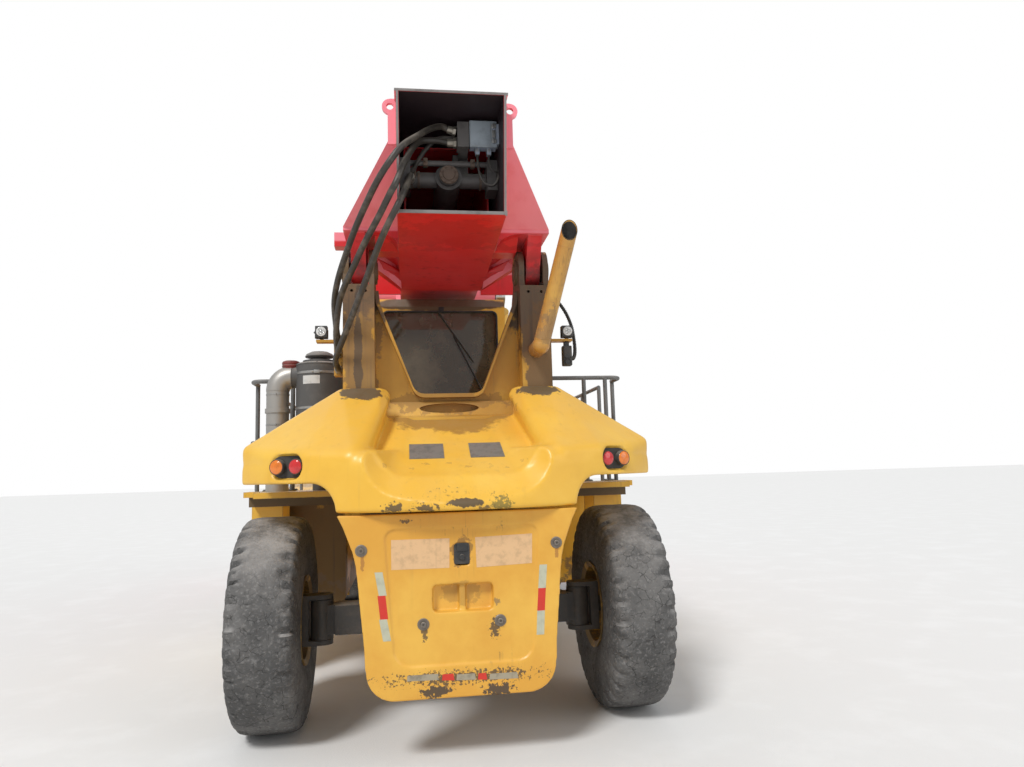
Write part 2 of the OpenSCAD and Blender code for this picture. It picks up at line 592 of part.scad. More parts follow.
module head_side() {
  polygon([[inner_front - 450, inner_top], [inner_front - 100, inner_top],
    [inner_front + 230, inner_top - 330], [spread_y + 150, tip_z + 50], [spread_y - 140, tip_z - 70], [inner_front - 60, inner_low],
    [inner_front - 450, inner_low]]);
  translate([spread_y, tip_z]) circle(r = 175);
}
module boom_inner() color(red) difference() {
  union() {
    difference() {
      box(-350, 350, -250, inner_front - 450, inner_low, inner_top);
      box(-334, 334, -300, inner_front - 440, inner_low + 16, inner_top - 16);
    }
    both() slab(310, 350) head_side();
    slab(-310, 310) polygon([[inner_front - 480, inner_top - 10], [inner_front - 100, inner_top - 10],
      [inner_front + 224, inner_top - 336], [inner_front + 240, inner_top - 500],
      [inner_front + 210, inner_top - 500], [inner_front + 190, inner_top - 350],
      [inner_front - 110, inner_top - 45], [inner_front - 480, inner_top - 45]]);
    slab(-310, 310) polygon([[inner_front - 450, inner_low], [inner_front - 80, inner_low],
      [inner_front - 110, inner_low + 30], [inner_front - 450, inner_low + 30]]);
    both() rodx(350, 372, spread_y, tip_z, 110);
  }
  rodx(-400, 400, spread_y, tip_z, 60 + run);
}
cyl_z = (boom_low + boom_top) / 2 + 5;
module telescope_cylinder() color(grey) {
  rody(0, -560, 6200, cyl_z, 105);
  rody(0, -600, -560, cyl_z, 80);
  rodx(-boom_half + boom_wall, boom_half - boom_wall, -480, cyl_z, 62);
  rodx(-boom_half + boom_wall, boom_half - boom_wall, -590, cyl_z + 95, 22);
  both() box(300, boom_half - boom_wall, -620, -420, cyl_z - 120, cyl_z + 125);
  box(40, 160, -500, -420, cyl_z + 50, boom_top - 215);
  box(80, 150, -645, -495, boom_top - 260, boom_top - 220);
  box(62, 150, -760, -640, boom_top - 260, boom_top - 60);
}
module control_box() color(grey) {
  box(160, 360, -760, -680, boom_top - 260, boom_top - 60);
  box(330, boom_half - boom_wall, -780, -690, boom_top - 240, boom_top - 80);
  for (x = [200, 290]) box(x, x + 30, -740, -700, boom_top - 310, boom_top - 260);
}

// Lift cylinders
module lift_axis() translate([lift_x, lift_foot[0], lift_foot[1]]) rotate([lift_ang - 90, 0, 0]) children();
module lift_barrel() color(yellow) lift_axis() difference() {
  union() {
    translate([0, 0, 140]) cylinder(h = lift_len - 365, r = lift_r);
    translate([0, 0, lift_len - 265]) cylinder(h = 50, r = lift_r + 0.5);
    translate([-58, 0, 0]) rotate([0, 90, 0]) cylinder(h = 116, r = 120);
    translate([-58, -90, 0]) cube([116, 180, 150]);
  }
  translate([-70, 0, 0]) rotate([0, 90, 0]) cylinder(h = 140, r = 60 + run);
  translate([0, 0, 230]) cylinder(h = lift_len, r = rod_r + 0.3);
}
module lift_rod() color(steel) lift_axis() difference() {
  union() {
    translate([0, 0, 300]) cylinder(h = lift_len - 380, r = rod_r);
    translate([-55, 0, lift_len]) rotate([0, 90, 0]) cylinder(h = 110, r = 115);
    translate([-55, -80, lift_len - 150]) cube([110, 160, 150]);
  }
  translate([-70, 0, lift_len]) rotate([0, 90, 0]) cylinder(h = 140, r = 62);
}

// Spreader
module spreader_hanger() color(red) {
  rodx(-372, 372, spread_y, tip_z, 60);
  rodx(-300, 300, spread_y, tip_z, 125);
  box(-250, 250, spread_y - 180, spread_y + 180, tip_z - 340, tip_z - 60);
  rodz(0, spread_y, tip_z - 380, tip_z - 335, 430);
  rodz(0, spread_y, tip_z - 530, tip_z - 380, 100);
  rodz(0, spread_y, tip_z - 550, tip_z - 515, 150);
}
module rotator() color(red) difference() {
  union() {
    rodz(0, spread_y, main_top + 50, tip_z - 385, 480);
    box(-650, 650, spread_y - 530, spread_y + 530, main_top + 10, main_top + 60);
    for (s = [-1, 1]) translate([0, spread_y, 0]) scale([1, s, 1]) {
      box(-650, 650, 485, 530, main_top - 90, main_top + 15);
      box(-650, 650, 435, 490, main_top - 90, main_top - 50);
      for (x = [-640, 540]) {
        box(x, x + 100, 250, 400, main_top + 0.3, main_top + 20);
        box(x, x + 100, 436, 470, main_top - 60, main_top - 38.3);
        box(x, x + 100, 472.3, 490, main_top - 36, main_top - 4);
      }
    }
  }
  rodz(0, spread_y, main_top - 100, tip_z, 100 + run);
  rodz(0, spread_y, main_top + 1, tip_z - 505, 175);
}
module spreader_main() color(red) {
  difference() {
    box(-2700, 2700, spread_y - 420, spread_y + 420, main_low, main_top);
    for (s = [-1, 1]) translate([0, spread_y, 0]) scale([1, s, 1])
      box(-2750, 2750, 14, 404, main_low + 16, main_top - 16);
    for (x = [-1900, 1500]) box(x, x + 400, spread_y - 300, spread_y + 300, main_top - 20, main_top + 5);
  }
  for (s = [-1, 1], x = [-2690, 2590]) translate([0, spread_y, 0]) scale([1, s, 1]) {
    box(x, x + 100, 60, 360, main_low + 15, main_low + 23.7);
    box(x, x + 100, 60, 360, main_top - 23.7, main_top - 15);
    box(x, x + 100, 396.3, 405, main_low + 60, main_top - 60);
    box(x, x + 100, 13, 21.7, main_low + 60, main_top - 60);
  }
  for (s = [-1, 1]) translate([0, spread_y, 0]) scale([1, s, 1])
    box(-1650, 1650, 420, 472, main_top - 38, main_top);
}
module spreader_arm() color(red) difference() {
  union() {
    difference() {
      box(-2450, 2880, spread_y - 396, spread_y - 22, main_low + 24, main_top - 24);
      box(-2500, 2700, spread_y - 384, spread_y - 34, main_low + 36, main_top - 36);
    }
    box(lock_x - 95, lock_x + 100, spread_y - end_half, spread_y + end_half, main_low - 60, main_low + 220);
    box(2780, lock_x + 60, spread_y - 396, spread_y + 396, main_low + 24, main_top - 24);
    for (s = [-1, 1]) {
      translate([0, spread_y, 0]) scale([1, s, 1]) box(lock_x - 85, lock_x + 100, lock_y - 90, end_half,
        main_low - 155, main_low - 60);
    }
  }
  for (s = [-1, 1]) rodz(lock_x, spread_y + s * lock_y, main_low - 200, main_low + 40, 32 + run);
}
module twistlock(sx, sy) color(steel) translate([sx * lock_x, spread_y + sy * lock_y, main_low]) {
  rodz(0, 0, -195, 40, 32);
  difference() {
    translate([0, 0, -235]) cylinder(h = 45, r1 = 24, r2 = 52);
    for (s = [-1, 1]) translate([-60, s > 0 ? 28 : -88, -240]) cube([120, 60, 80]);
  }
  box(-52, 52, -28, 28, -190, -160);
}

// Hoses
function at(p, q, t) = p + (q - p) * t;
function cat(a, b, c, d, t) = 0.5 * ((2 * b) + (c - a) * t + (2 * a - 5 * b + 4 * c - d) * t * t
  + (3 * b - a - 3 * c + d) * t * t * t);
function path(k, n) = [for (i = [0:len(k) - 2], j = [0:n - 1])
  cat(k[max(i - 1, 0)], k[i], k[i + 1], k[min(i + 2, len(k) - 1)], j / n), k[len(k) - 1]];
module tube(k, r, n = 4, m = 10) {
  p = path(k, n);
  c = len(p);
  rings = [for (i = [0:c - 1]) let (d = p[min(i + 1, c - 1)] - p[max(i - 1, 0)], t = d / norm(d),
    u0 = cross(t, [0.6, -0.5, -0.7]), u = u0 / norm(u0), v = cross(t, u))
    for (a = [0:m - 1]) p[i] + r * (cos(a * 360 / m) * u + sin(a * 360 / m) * v)];
  polyhedron(points = rings, faces = concat([[for (a = [m - 1:-1:0]) a]],
    [for (i = [0:c - 2], a = [0:m - 1]) [i * m + a, i * m + (a + 1) % m, (i + 1) * m + (a + 1) % m]],
    [for (i = [0:c - 2], a = [0:m - 1]) [i * m + a, (i + 1) * m + (a + 1) % m, (i + 1) * m + a]],
    [[for (a = [0:m - 1]) (c - 1) * m + a]]));
}
hose_points = [
  [[56.4, -700, 4545], [0, -702, 4558], [-65, -732, 4568], [-156, -812, 4503], [-249, -925, 4392],
    [-360, -1075, 4242], [-452, -1100, 4108], [-541, -1030, 3988], [-624, -900, 3872], [-713, -750, 3733],
    [-791, -600, 3587], [-865, -450, 3424], [-907, -290, 3280], [-905, -170, 3120], [-900, -80, 3040],
    [-900, 26, 3040]],
  [[56.4, -700, 4450], [0, -701, 4451], [-100, -722, 4456], [-240, -790, 4405], [-335, -985, 4180],
    [-398, -1060, 3994], [-451, -1030, 3900], [-531, -930, 3773], [-655, -750, 3604], [-730, -630, 3485],
    [-807, -500, 3372], [-862, -372, 3262], [-900, -220, 3060], [-900, -90, 2920], [-900, 26, 2920]],
  [[-300, -621.6, 4180], [-300, -710, 4176], [-308, -810, 4120], [-328, -903, 4030], [-358, -973, 3925],
    [-402, -997, 3820], [-458, -948, 3725], [-525, -830, 3620], [-592, -705, 3490], [-660, -580, 3350],
    [-830, -330, 3000], [-905, -190, 2850], [-900, -85, 2790], [-900, 26, 2790]]];
module boom_hoses() color(dark) for (k = hose_points) tube(k, 24);

at_mid() chassis();
at_mid() counterweight_upper();
at_mid() counterweight_lower();
at_mid() boom_tower();
at_mid() front_axle();
at_mid() rear_axle();
at_mid() mirror([1, 0, 0]) knuckle();  // knuckle_left
at_mid() knuckle();  // knuckle_right
at_mid() translate([0, wheelbase, tire_r])  // front_rims_left
  mirror([1, 0, 0]) front_rims();
at_mid() translate([0, wheelbase, tire_r]) front_rims();  // front_rims_right
at_mid() translate([0, wheelbase, tire_r]) color(dark) {  // front_tires_left
  tire(-twin_x);
  tire(-twin_x - twin_step);
}
at_mid() translate([0, wheelbase, tire_r]) color(dark) {  // front_tires_right
  tire(twin_x);
  tire(twin_x + twin_step);
}
at_mid() translate([0, 0, tire_r])  // rear_rim_left
  mirror([1, 0, 0]) rear_rim();
at_mid() translate([0, 0, tire_r]) rear_rim();  // rear_rim_right
at_mid() translate([0, 0, tire_r]) color(dark)  // rear_tire_left
  tire(-rear_track / 2);
at_mid() translate([0, 0, tire_r]) color(dark)  // rear_tire_right
  tire(rear_track / 2);
at_mid() cab_shell();
at_mid() cab_glass();
at_mid() cab_door();
at_mid() door_glass();
at_mid() operator_station();
at_mid() engine();
at_mid() hood();
at_mid() hydraulic_tank();
at_mid() fuel_tank();
at_mid() deck_left();
at_mid() deck_right();
at_mid() railing_left();
at_mid() railing_right();
at_mid() air_cleaner();
at_mid() exhaust_pipe();
at_mid() lamps();
at_mid() boom_base();
at_mid() boom_inner();
at_mid() telescope_cylinder();
at_mid() control_box();
at_mid() mirror([1, 0, 0]) lift_barrel();  // lift_barrel_left
at_mid() lift_barrel();  // lift_barrel_right
at_mid() mirror([1, 0, 0]) lift_rod();  // lift_rod_left
at_mid() lift_rod();  // lift_rod_right
at_mid() spreader_hanger();
at_mid() rotator();
at_mid() spreader_main();
at_mid() translate([0, spread_y, 0]) rotate([0, 0, 180])  // spreader_arm_left
  translate([0, -spread_y, 0]) spreader_arm();
at_mid() spreader_arm();  // spreader_arm_right
at_mid() twistlock(-1, 1);  // twistlock_1
at_mid() twistlock(1, 1);  // twistlock_2
at_mid() twistlock(-1, -1);  // twistlock_3
at_mid() twistlock(1, -1);  // twistlock_4
at_mid() boom_hoses();
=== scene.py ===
import json
import math

import bmesh
import bpy
from mathutils import Matrix, Vector, noise

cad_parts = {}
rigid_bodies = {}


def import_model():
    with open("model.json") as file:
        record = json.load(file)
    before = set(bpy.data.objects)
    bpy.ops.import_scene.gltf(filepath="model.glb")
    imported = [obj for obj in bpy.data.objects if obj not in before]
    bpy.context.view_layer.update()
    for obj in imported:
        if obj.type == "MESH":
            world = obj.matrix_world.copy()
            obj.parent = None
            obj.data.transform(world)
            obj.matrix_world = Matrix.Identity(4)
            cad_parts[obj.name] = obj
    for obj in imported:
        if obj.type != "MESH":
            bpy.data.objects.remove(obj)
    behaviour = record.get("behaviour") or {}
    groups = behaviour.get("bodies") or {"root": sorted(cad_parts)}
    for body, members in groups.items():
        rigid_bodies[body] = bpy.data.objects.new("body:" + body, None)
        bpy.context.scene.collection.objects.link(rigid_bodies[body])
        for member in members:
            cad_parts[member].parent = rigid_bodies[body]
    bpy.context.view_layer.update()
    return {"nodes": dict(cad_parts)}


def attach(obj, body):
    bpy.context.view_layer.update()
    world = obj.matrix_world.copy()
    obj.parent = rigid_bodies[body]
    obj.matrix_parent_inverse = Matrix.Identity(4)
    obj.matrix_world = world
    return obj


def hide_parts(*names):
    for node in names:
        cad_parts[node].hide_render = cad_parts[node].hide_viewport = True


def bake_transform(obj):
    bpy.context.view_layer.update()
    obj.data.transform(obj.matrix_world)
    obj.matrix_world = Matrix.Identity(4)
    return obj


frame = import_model()
nodes = {o.name: o for o in bpy.data.objects if o.name in frame["nodes"]}

# The machine is measured from the ground under its rear axle. This is how far ahead of it the origin lies.
MIDDLE = 4.4595
WHEELBASE = 6.0
TIRE_RADIUS = 0.805
SIDES = ((-1, "left"), (1, "right"))
REARWARD = (0, -1, 0)
FORWARD = (0, 1, 0)


def spot(x, y, z):
    """A point measured from the rear axle, in the row frame."""
    return Vector((x, y - MIDDLE, z))


def spots(*points):
    return [spot(*point) for point in points]


def turns(count):
    """Equal steps round a circle, as angles."""
    return [2 * math.pi * k / count for k in range(count)]


# Camera, light and floor


def photo_camera():
    """The place and lens from which the photograph shows the machine."""
    yaw, pitch, roll = 0.14358, 0.11949, 0.02962
    ahead = Vector((math.sin(yaw) * math.cos(pitch), math.cos(yaw) * math.cos(pitch), math.sin(pitch)))
    right = Vector((math.cos(yaw), -math.sin(yaw), 0))
    up = right.cross(ahead)
    across = math.cos(roll) * right - math.sin(roll) * up
    above = math.sin(roll) * right + math.cos(roll) * up
    data = bpy.data.cameras.new("photo_camera")
    data.sensor_width = 36
    data.lens = 25.841
    data.clip_end = 400
    camera = bpy.data.objects.new("photo_camera", data)
    turn = Matrix((across, above, -ahead)).transposed().to_4x4()
    stand = spot(-0.34895, -6.13457, 1.91018)
    camera.matrix_world = Matrix.Translation(stand) @ turn
    bpy.context.collection.objects.link(camera)
    bpy.context.scene.camera = camera


def soft_sun(name, direction, energy, spread):
    data = bpy.data.lights.new(name, "SUN")
    data.energy = energy
    data.angle = math.radians(spread)
    lamp = bpy.data.objects.new(name, data)
    lamp.rotation_mode = "QUATERNION"
    lamp.rotation_quaternion = Vector(direction).to_track_quat("-Z", "Y")
    bpy.context.collection.objects.link(lamp)


def studio():
    """White surroundings, three soft suns and a pale floor."""
    scene = bpy.context.scene
    scene.view_settings.view_transform = "Standard"
    world = bpy.data.worlds.new("studio")
    scene.world = world
    world.use_nodes = True
    tree = world.node_tree
    tree.nodes.clear()
    out = tree.nodes.new("ShaderNodeOutputWorld")
    light = wire(tree, "Background", {"Color": (0.93, 0.96, 1.0, 1), "Strength": 0.5})
    white = wire(tree, "Background", {"Color": (1, 1, 1, 1), "Strength": 1.0})
    rays = wire(tree, "LightPath")
    seen = maths(tree, "MAXIMUM", rays.outputs["Is Camera Ray"], rays.outputs["Is Transmission Ray"])
    both = wire(tree, "MixShader", {0: seen, 1: light.outputs[0], 2: white.outputs[0]})
    tree.links.new(both.outputs[0], out.inputs["Surface"])
    soft_sun("key", (0.45, 0.62, -0.85), energy=2.1, spread=14)
    soft_sun("fill", (-0.75, 0.55, -0.35), energy=0.5, spread=40)
    soft_sun("front", (0.1, -1.0, -0.6), energy=0.4, spread=40)

    bm = bmesh.new()
    bmesh.ops.create_grid(bm, x_segments=1, y_segments=1, size=150)
    mesh = bpy.data.meshes.new("floor")
    bm.to_mesh(mesh)
    bm.free()
    floor = bpy.data.objects.new("floor", mesh)
    bpy.context.collection.objects.link(floor)
    ground = Coat("floor_grey", (0.80, 0.79, 0.77), 0.9)
    ground.mottle(1.5, 0.45, 0.7, (0.86, 0.855, 0.84), strength=0.5)
    mesh.materials.append(ground.finish(bump=(90.0, 0.002)))


# Surface effects, each one a shader node group


def fill(tree, node, sockets):
    """Fills a node's sockets with values, or joins them to other nodes."""
    for key, value in sockets.items():
        if isinstance(value, bpy.types.NodeSocket):
            tree.links.new(value, node.inputs[key])
        else:
            node.inputs[key].default_value = value


def wire(tree, kind, sockets=None, **settings):
    """Adds a node, sets its options and fills its sockets."""
    made = tree.nodes.new("ShaderNode" + kind)
    for key, value in settings.items():
        setattr(made, key, value)
    fill(tree, made, sockets or {})
    return made


def maths(tree, operation, *values):
    return wire(tree, "Math", dict(enumerate(values)), operation=operation).outputs[0]


def vector_maths(tree, operation, sockets, output=0):
    return wire(tree, "VectorMath", sockets, operation=operation).outputs[output]


def times(tree, first, *others):
    for other in others:
        first = maths(tree, "MULTIPLY", first, other)
    return first


def between(tree, value, low, high):
    """0 below low, 1 above high, smooth between them. low may be above high."""
    return wire(tree, "MapRange", {"Value": value, "From Min": low, "From Max": high},
                interpolation_type="SMOOTHSTEP").outputs[0]


def own_space(tree):
    return wire(tree, "TexCoord").outputs["Object"]


def cloud(tree, scale, detail, roughness=0.5):
    """Soft noise in the object's own space."""
    return wire(tree, "TexNoise", {"Vector": own_space(tree), "Scale": scale, "Detail": detail,
                                   "Roughness": roughness}).outputs["Fac"]


def mottle_mask(group, given):
    return between(group, cloud(group, given["Scale"], 7.0, 0.62), given["Low"], given["High"])


def rubbed_edge_mask(group, given):
    rounded = wire(group, "Bevel", {"Radius": given["Width"]}, samples=4).outputs[0]
    face = wire(group, "NewGeometry").outputs["Normal"]
    off = maths(group, "SUBTRACT", 1.0, vector_maths(group, "DOT_PRODUCT", {0: rounded, 1: face}, "Value"))
    broken = between(group, cloud(group, 11.0, 6.0), 0.35, 0.62)
    return times(group, between(group, off, 0.01, 0.12), times(group, broken, given["Amount"]))


def settled_dust_mask(group, given):
    face = wire(group, "NewGeometry").outputs["Normal"]
    top = between(group, wire(group, "SeparateXYZ", {0: face}).outputs["Z"], 0.2, 0.95)
    return times(group, top, between(group, cloud(group, 3.2, 9.0, 0.7), 0.3, 0.68), given["Amount"])


def water_runs_mask(group, given):
    size = wire(group, "CombineXYZ", {0: given["Density"], 1: given["Density"], 2: 0.9}).outputs[0]
    tall = vector_maths(group, "MULTIPLY", {0: own_space(group), 1: size})
    fine = wire(group, "TexNoise", {"Vector": tall, "Scale": 1.0, "Detail": 3.0}).outputs["Fac"]
    broad = between(group, cloud(group, 2.3, 4.0), 0.42, 0.62)
    return times(group, between(group, fine, 0.55, 0.76), broad, given["Amount"])


def ragged_patch_mask(group, given):
    off = vector_maths(group, "SUBTRACT", {0: own_space(group), 1: given["Middle"]})
    share = vector_maths(group, "DIVIDE", {0: off, 1: given["Half"]})
    reach = vector_maths(group, "LENGTH", {0: share}, "Value")
    shift = wire(group, "MapRange", {"Value": cloud(group, given["Grain"], 7.0, 0.65), "From Min": 0.3,
                                     "From Max": 0.7, "To Min": -1.0, "To Max": 1.0}).outputs[0]
    return between(group, maths(group, "ADD", reach, times(group, shift, given["Ragged"])), 1.0, 0.82)


def fine_cracks_mask(group, given):
    space = own_space(group)
    bends = wire(group, "TexNoise", {"Vector": space, "Scale": 9.0, "Detail": 4.0}).outputs["Color"]
    shift = vector_maths(group, "SCALE", {0: bends, "Scale": 0.10})
    cells = wire(group, "TexVoronoi", {"Vector": vector_maths(group, "ADD", {0: space, 1: shift}),
                                       "Scale": given["Scale"]}, feature="DISTANCE_TO_EDGE")
    line = wire(group, "MapRange", {"Value": cells.outputs["Distance"], "From Min": given["Width"],
                                    "From Max": 0.0}).outputs[0]
    return times(group, line, between(group, cloud(group, 13.0, 3.0), 0.42, 0.58), given["Amount"])


def effect(name, build, **inputs):
    """A group with named inputs. Its one output is the mask that build makes from them."""
    group = bpy.data.node_groups.new(name, "ShaderNodeTree")
    for label, value in inputs.items():
        kind = "Vector" if isinstance(value, tuple) else "Float"
        socket = group.interface.new_socket(label, in_out="INPUT", socket_type="NodeSocket" + kind)
        socket.default_value = value
    group.interface.new_socket("Mask", in_out="OUTPUT", socket_type="NodeSocketFloat")
    given = group.nodes.new("NodeGroupInput").outputs
    end = group.nodes.new("NodeGroupOutput")
    group.links.new(build(group, given), end.inputs[0])
    return group


EFFECTS = {
    "mottle": effect("mottle", mottle_mask, Scale=4.0, Low=0.4, High=0.6),
    "fine_cracks": effect("fine_cracks", fine_cracks_mask, Scale=16.0, Width=0.05, Amount=0.8),
    "rubbed_edge": effect("rubbed_edge", rubbed_edge_mask, Width=0.01, Amount=1.0),
    "settled_dust": effect("settled_dust", settled_dust_mask, Amount=0.5),
    "water_runs": effect("water_runs", water_runs_mask, Density=24.0, Amount=0.5),
    "ragged_patch": effect("ragged_patch", ragged_patch_mask, Middle=(0, 0, 0), Half=(1, 1, 1), Ragged=0.6,
                           Grain=20.0)}

YELLOW = (0.82, 0.46, 0.045)
YELLOW_SUN = (0.92, 0.60, 0.10)
YELLOW_OLD = (0.66, 0.35, 0.045)
RED = (0.68, 0.013, 0.015)
RED_SUN = (0.84, 0.075, 0.095)
# Pale pink for the boom's upper outer plates: partly sun-faded paint, partly a painted sunlit highlight
RED_FADED_SUNLIT = (0.95, 0.30, 0.36)
DIRT = (0.19, 0.13, 0.075)
SOOT = (0.045, 0.036, 0.03)
RUST = (0.28, 0.10, 0.03)
DUST = (0.50, 0.46, 0.40)

# A Mix node's sockets for what lies below, what covers it and what comes out
MIX_SOCKETS = {"RGBA": (6, 7, 2), "FLOAT": (2, 3, 0)}


class Coat:
    """A surface built up in layers: each layer covers the last where its mask says so."""

    def __init__(self, name, colour, roughness, metallic=0.0):
        self.material = bpy.data.materials.new(name)
        self.material.use_nodes = True
        self.tree = self.material.node_tree
        self.tree.nodes.clear()
        end = self.tree.nodes.new("ShaderNodeOutputMaterial")
        self.shader = self.tree.nodes.new("ShaderNodeBsdfPrincipled")
        self.tree.links.new(self.shader.outputs[0], end.inputs["Surface"])
        self.surface = {"Base Color": (*colour, 1.0), "Roughness": roughness, "Metallic": metallic}

    def mask(self, kind, **values):
        """One of the shared effects, with its own values."""
        made = self.tree.nodes.new("ShaderNodeGroup")
        made.node_tree = EFFECTS[kind]
        fill(self.tree, made, {key.capitalize(): value for key, value in values.items()})
        return made.outputs[0]

    def band(self, axis, low, high, soft, both=False):
        """1 between low and high along one axis of the machine. both takes left and right alike."""
        value = wire(self.tree, "SeparateXYZ", {0: own_space(self.tree)}).outputs[axis]
        if both:
            value = maths(self.tree, "ABSOLUTE", value)
        return times(self.tree, between(self.tree, value, low - soft, low + soft),
                     between(self.tree, value, high + soft, high - soft))

    def meet(self, *masks):
        """1 where all the masks are 1."""
        return times(self.tree, *masks)

    def lay(self, mask, colour=None, roughness=None, metallic=None, strength=1.0):
        """A layer over those before. What isn't given shows through."""
        if strength != 1.0:
            mask = times(self.tree, mask, strength)
        cover = {"Base Color": colour and (*colour, 1.0), "Roughness": roughness, "Metallic": metallic}
        for key, above in cover.items():
            if above is None:
                continue
            kind = "RGBA" if key == "Base Color" else "FLOAT"
            low, high, out = MIX_SOCKETS[kind]
            sockets = {0: mask, low: self.surface[key], high: above}
            self.surface[key] = wire(self.tree, "Mix", sockets, data_type=kind).outputs[out]
        return self

    def mottle(self, scale, low, high, colour, roughness=None, strength=1.0):
        blotches = self.mask("mottle", scale=scale, low=low, high=high)
        return self.lay(blotches, colour, roughness, strength=strength)

    def dusty(self, amount, colour=DUST, roughness=0.8):
        """Dust on the faces that look up."""
        return self.lay(self.mask("settled_dust", amount=amount), colour, roughness)

    def gloss(self, weight, roughness=0.03):
        self.shader.inputs["Coat Weight"].default_value = weight
        self.shader.inputs["Coat Roughness"].default_value = roughness

    def finish(self, bump=None, dents=None):
        """Joins the layers to the shader. bump and dents are (scale, height in metres)."""
        for scale, height in filter(None, (dents, bump)):
            rise = {"Height": cloud(self.tree, scale, 6.0), "Distance": height, "Strength": 1.0}
            if "Normal" in self.surface:
                rise["Normal"] = self.surface["Normal"]
            self.surface["Normal"] = wire(self.tree, "Bump", rise).outputs[0]
        fill(self.tree, self.shader, self.surface)
        return self.material


def yellow_paint(name, patches=(), dust=0.35, runs=0.55, worn=0.5, old=0.35, streaks=(), base=YELLOW):
    """Yellow paint with sun bleaching, runs of dirty water, rubbed edges, and stains and painted shade at
    stated places.
    """
    coat = Coat(name, base, 0.38)
    coat.mottle(0.9, 0.42, 0.66, YELLOW_SUN, 0.46, strength=0.45)
    coat.mottle(5.0, 0.52, 0.74, YELLOW_OLD, 0.5, strength=old)
    coat.lay(coat.mask("water_runs", density=20.0, amount=runs), DIRT, 0.62)
    coat.lay(coat.mask("rubbed_edge", width=0.012, amount=worn), (0.20, 0.16, 0.12), 0.55)
    for middle, half, ragged, grain, colour, strength in patches:
        mask = coat.mask("ragged_patch", middle=spot(*middle), half=half, ragged=ragged, grain=grain)
        coat.lay(mask, colour, 0.6, strength=strength)
    for middle, half, density, colour, strength in streaks:
        area = coat.mask("ragged_patch", middle=spot(*middle), half=half, ragged=0.5, grain=9.0)
        lines = coat.mask("water_runs", density=density, amount=1.0)
        coat.lay(coat.meet(area, lines), colour, 0.65, strength=strength)
    coat.dusty(dust)
    coat.gloss(0.12, 0.25)
    return coat.finish(bump=(260.0, 0.0004), dents=(3.0, 0.010))


def red_layers(name, worn=0.9):
    """Red paint without its dust, for the boom and the spreader."""
    coat = Coat(name, RED, 0.36)
    coat.mottle(0.8, 0.4, 0.66, RED_SUN, 0.45, strength=0.3)
    coat.mottle(4.0, 0.55, 0.75, (0.36, 0.010, 0.012), 0.5, strength=0.5)
    coat.lay(coat.mask("water_runs", density=14.0, amount=0.35), (0.16, 0.03, 0.025), 0.6)
    coat.lay(coat.mask("rubbed_edge", width=0.010, amount=worn), (0.17, 0.15, 0.14), 0.55, 0.3)
    coat.gloss(0.12)
    return coat


def red_paint(name, dust=0.3):
    coat = red_layers(name)
    coat.dusty(dust)
    return coat.finish(bump=(240.0, 0.0004), dents=(3.5, 0.006))


def boom_paint():
    """The boom's red: faded and painted sunlit pink on the upper outer plates, greasy at the pin, with
    painted shade under the belly, and nearly black inside the open tube from painted shade with soot.
    """
    coat = red_layers("boom_paint", 0.5)
    # Painted sunlit highlight with sun fading: the upper outer plates are laid pale pink
    outer = coat.meet(coat.band("X", 0.404, 0.95, 0.003, True), coat.band("Z", 3.862, 4.70, 0.01))
    coat.lay(outer, RED_FADED_SUNLIT, 0.5, strength=0.9)
    coat.lay(coat.meet(outer, coat.mask("mottle", scale=2.6, low=0.5, high=0.74)), RED, 0.45, strength=0.35)
    ears = coat.meet(coat.band("X", 0.66, 0.80, 0.01, True), coat.band("Z", 3.2, 3.70, 0.10),
                     coat.band("Y", -MIDDLE - 0.45, -MIDDLE + 0.5, 0.05),
                     coat.mask("mottle", scale=7.0, low=0.35, high=0.6))
    coat.lay(ears, (0.10, 0.02, 0.018), 0.5, strength=0.8)
    # Painted shade: a patch across the belly's underside is laid darker red
    belly = coat.mask("ragged_patch", middle=spot(0, -0.3, 3.79), half=(0.95, 0.55, 0.03), ragged=0.4,
                      grain=6.0)
    coat.lay(belly, (0.30, 0.012, 0.012), 0.5, strength=0.35)
    coat.dusty(0.25)
    # Painted shade with soot: inside the open tube the walls are laid nearly black and the floor dark red
    inside = coat.meet(coat.band("X", -0.1, 0.3806, 0.0004, True), coat.band("Z", 3.8192, 4.6408, 0.0006))
    coat.lay(inside, (0.018, 0.008, 0.011), 0.7)
    coat.lay(coat.meet(inside, coat.band("Z", 3.70, 3.8206, 0.0006)), (0.075, 0.006, 0.010), 0.6)
    return coat.finish(bump=(240.0, 0.0004), dents=(3.5, 0.006))


def greasy_metal(name, colour=(0.055, 0.05, 0.045), roughness=0.5, dust=0.5):
    """Dark metal or rubber with oily and with dry places."""
    coat = Coat(name, colour, roughness)
    coat.mottle(6.0, 0.45, 0.68, (0.10, 0.085, 0.07), 0.7, strength=0.8)
    coat.mottle(2.0, 0.55, 0.7, (0.02, 0.018, 0.016), 0.28, strength=0.7)
    coat.dusty(dust, roughness=0.85)
    return coat.finish(bump=(120.0, 0.0012), dents=(9.0, 0.004))


def dusty_rubber():
    coat = Coat("dusty_rubber", (0.075, 0.073, 0.071), 0.84)
    coat.mottle(3.0, 0.36, 0.68, (0.175, 0.168, 0.16), 0.9, strength=0.7)
    coat.mottle(42.0, 0.50, 0.68, (0.27, 0.26, 0.25), 0.92, strength=0.5)
    coat.lay(coat.mask("fine_cracks", scale=13.0, width=0.045, amount=0.85), (0.022, 0.021, 0.02), 0.95)
    coat.mottle(95.0, 0.60, 0.72, (0.03, 0.03, 0.03), 0.9, strength=0.7)
    coat.dusty(0.75, (0.44, 0.42, 0.40), 0.95)
    return coat.finish(bump=(70.0, 0.006), dents=(16.0, 0.012))


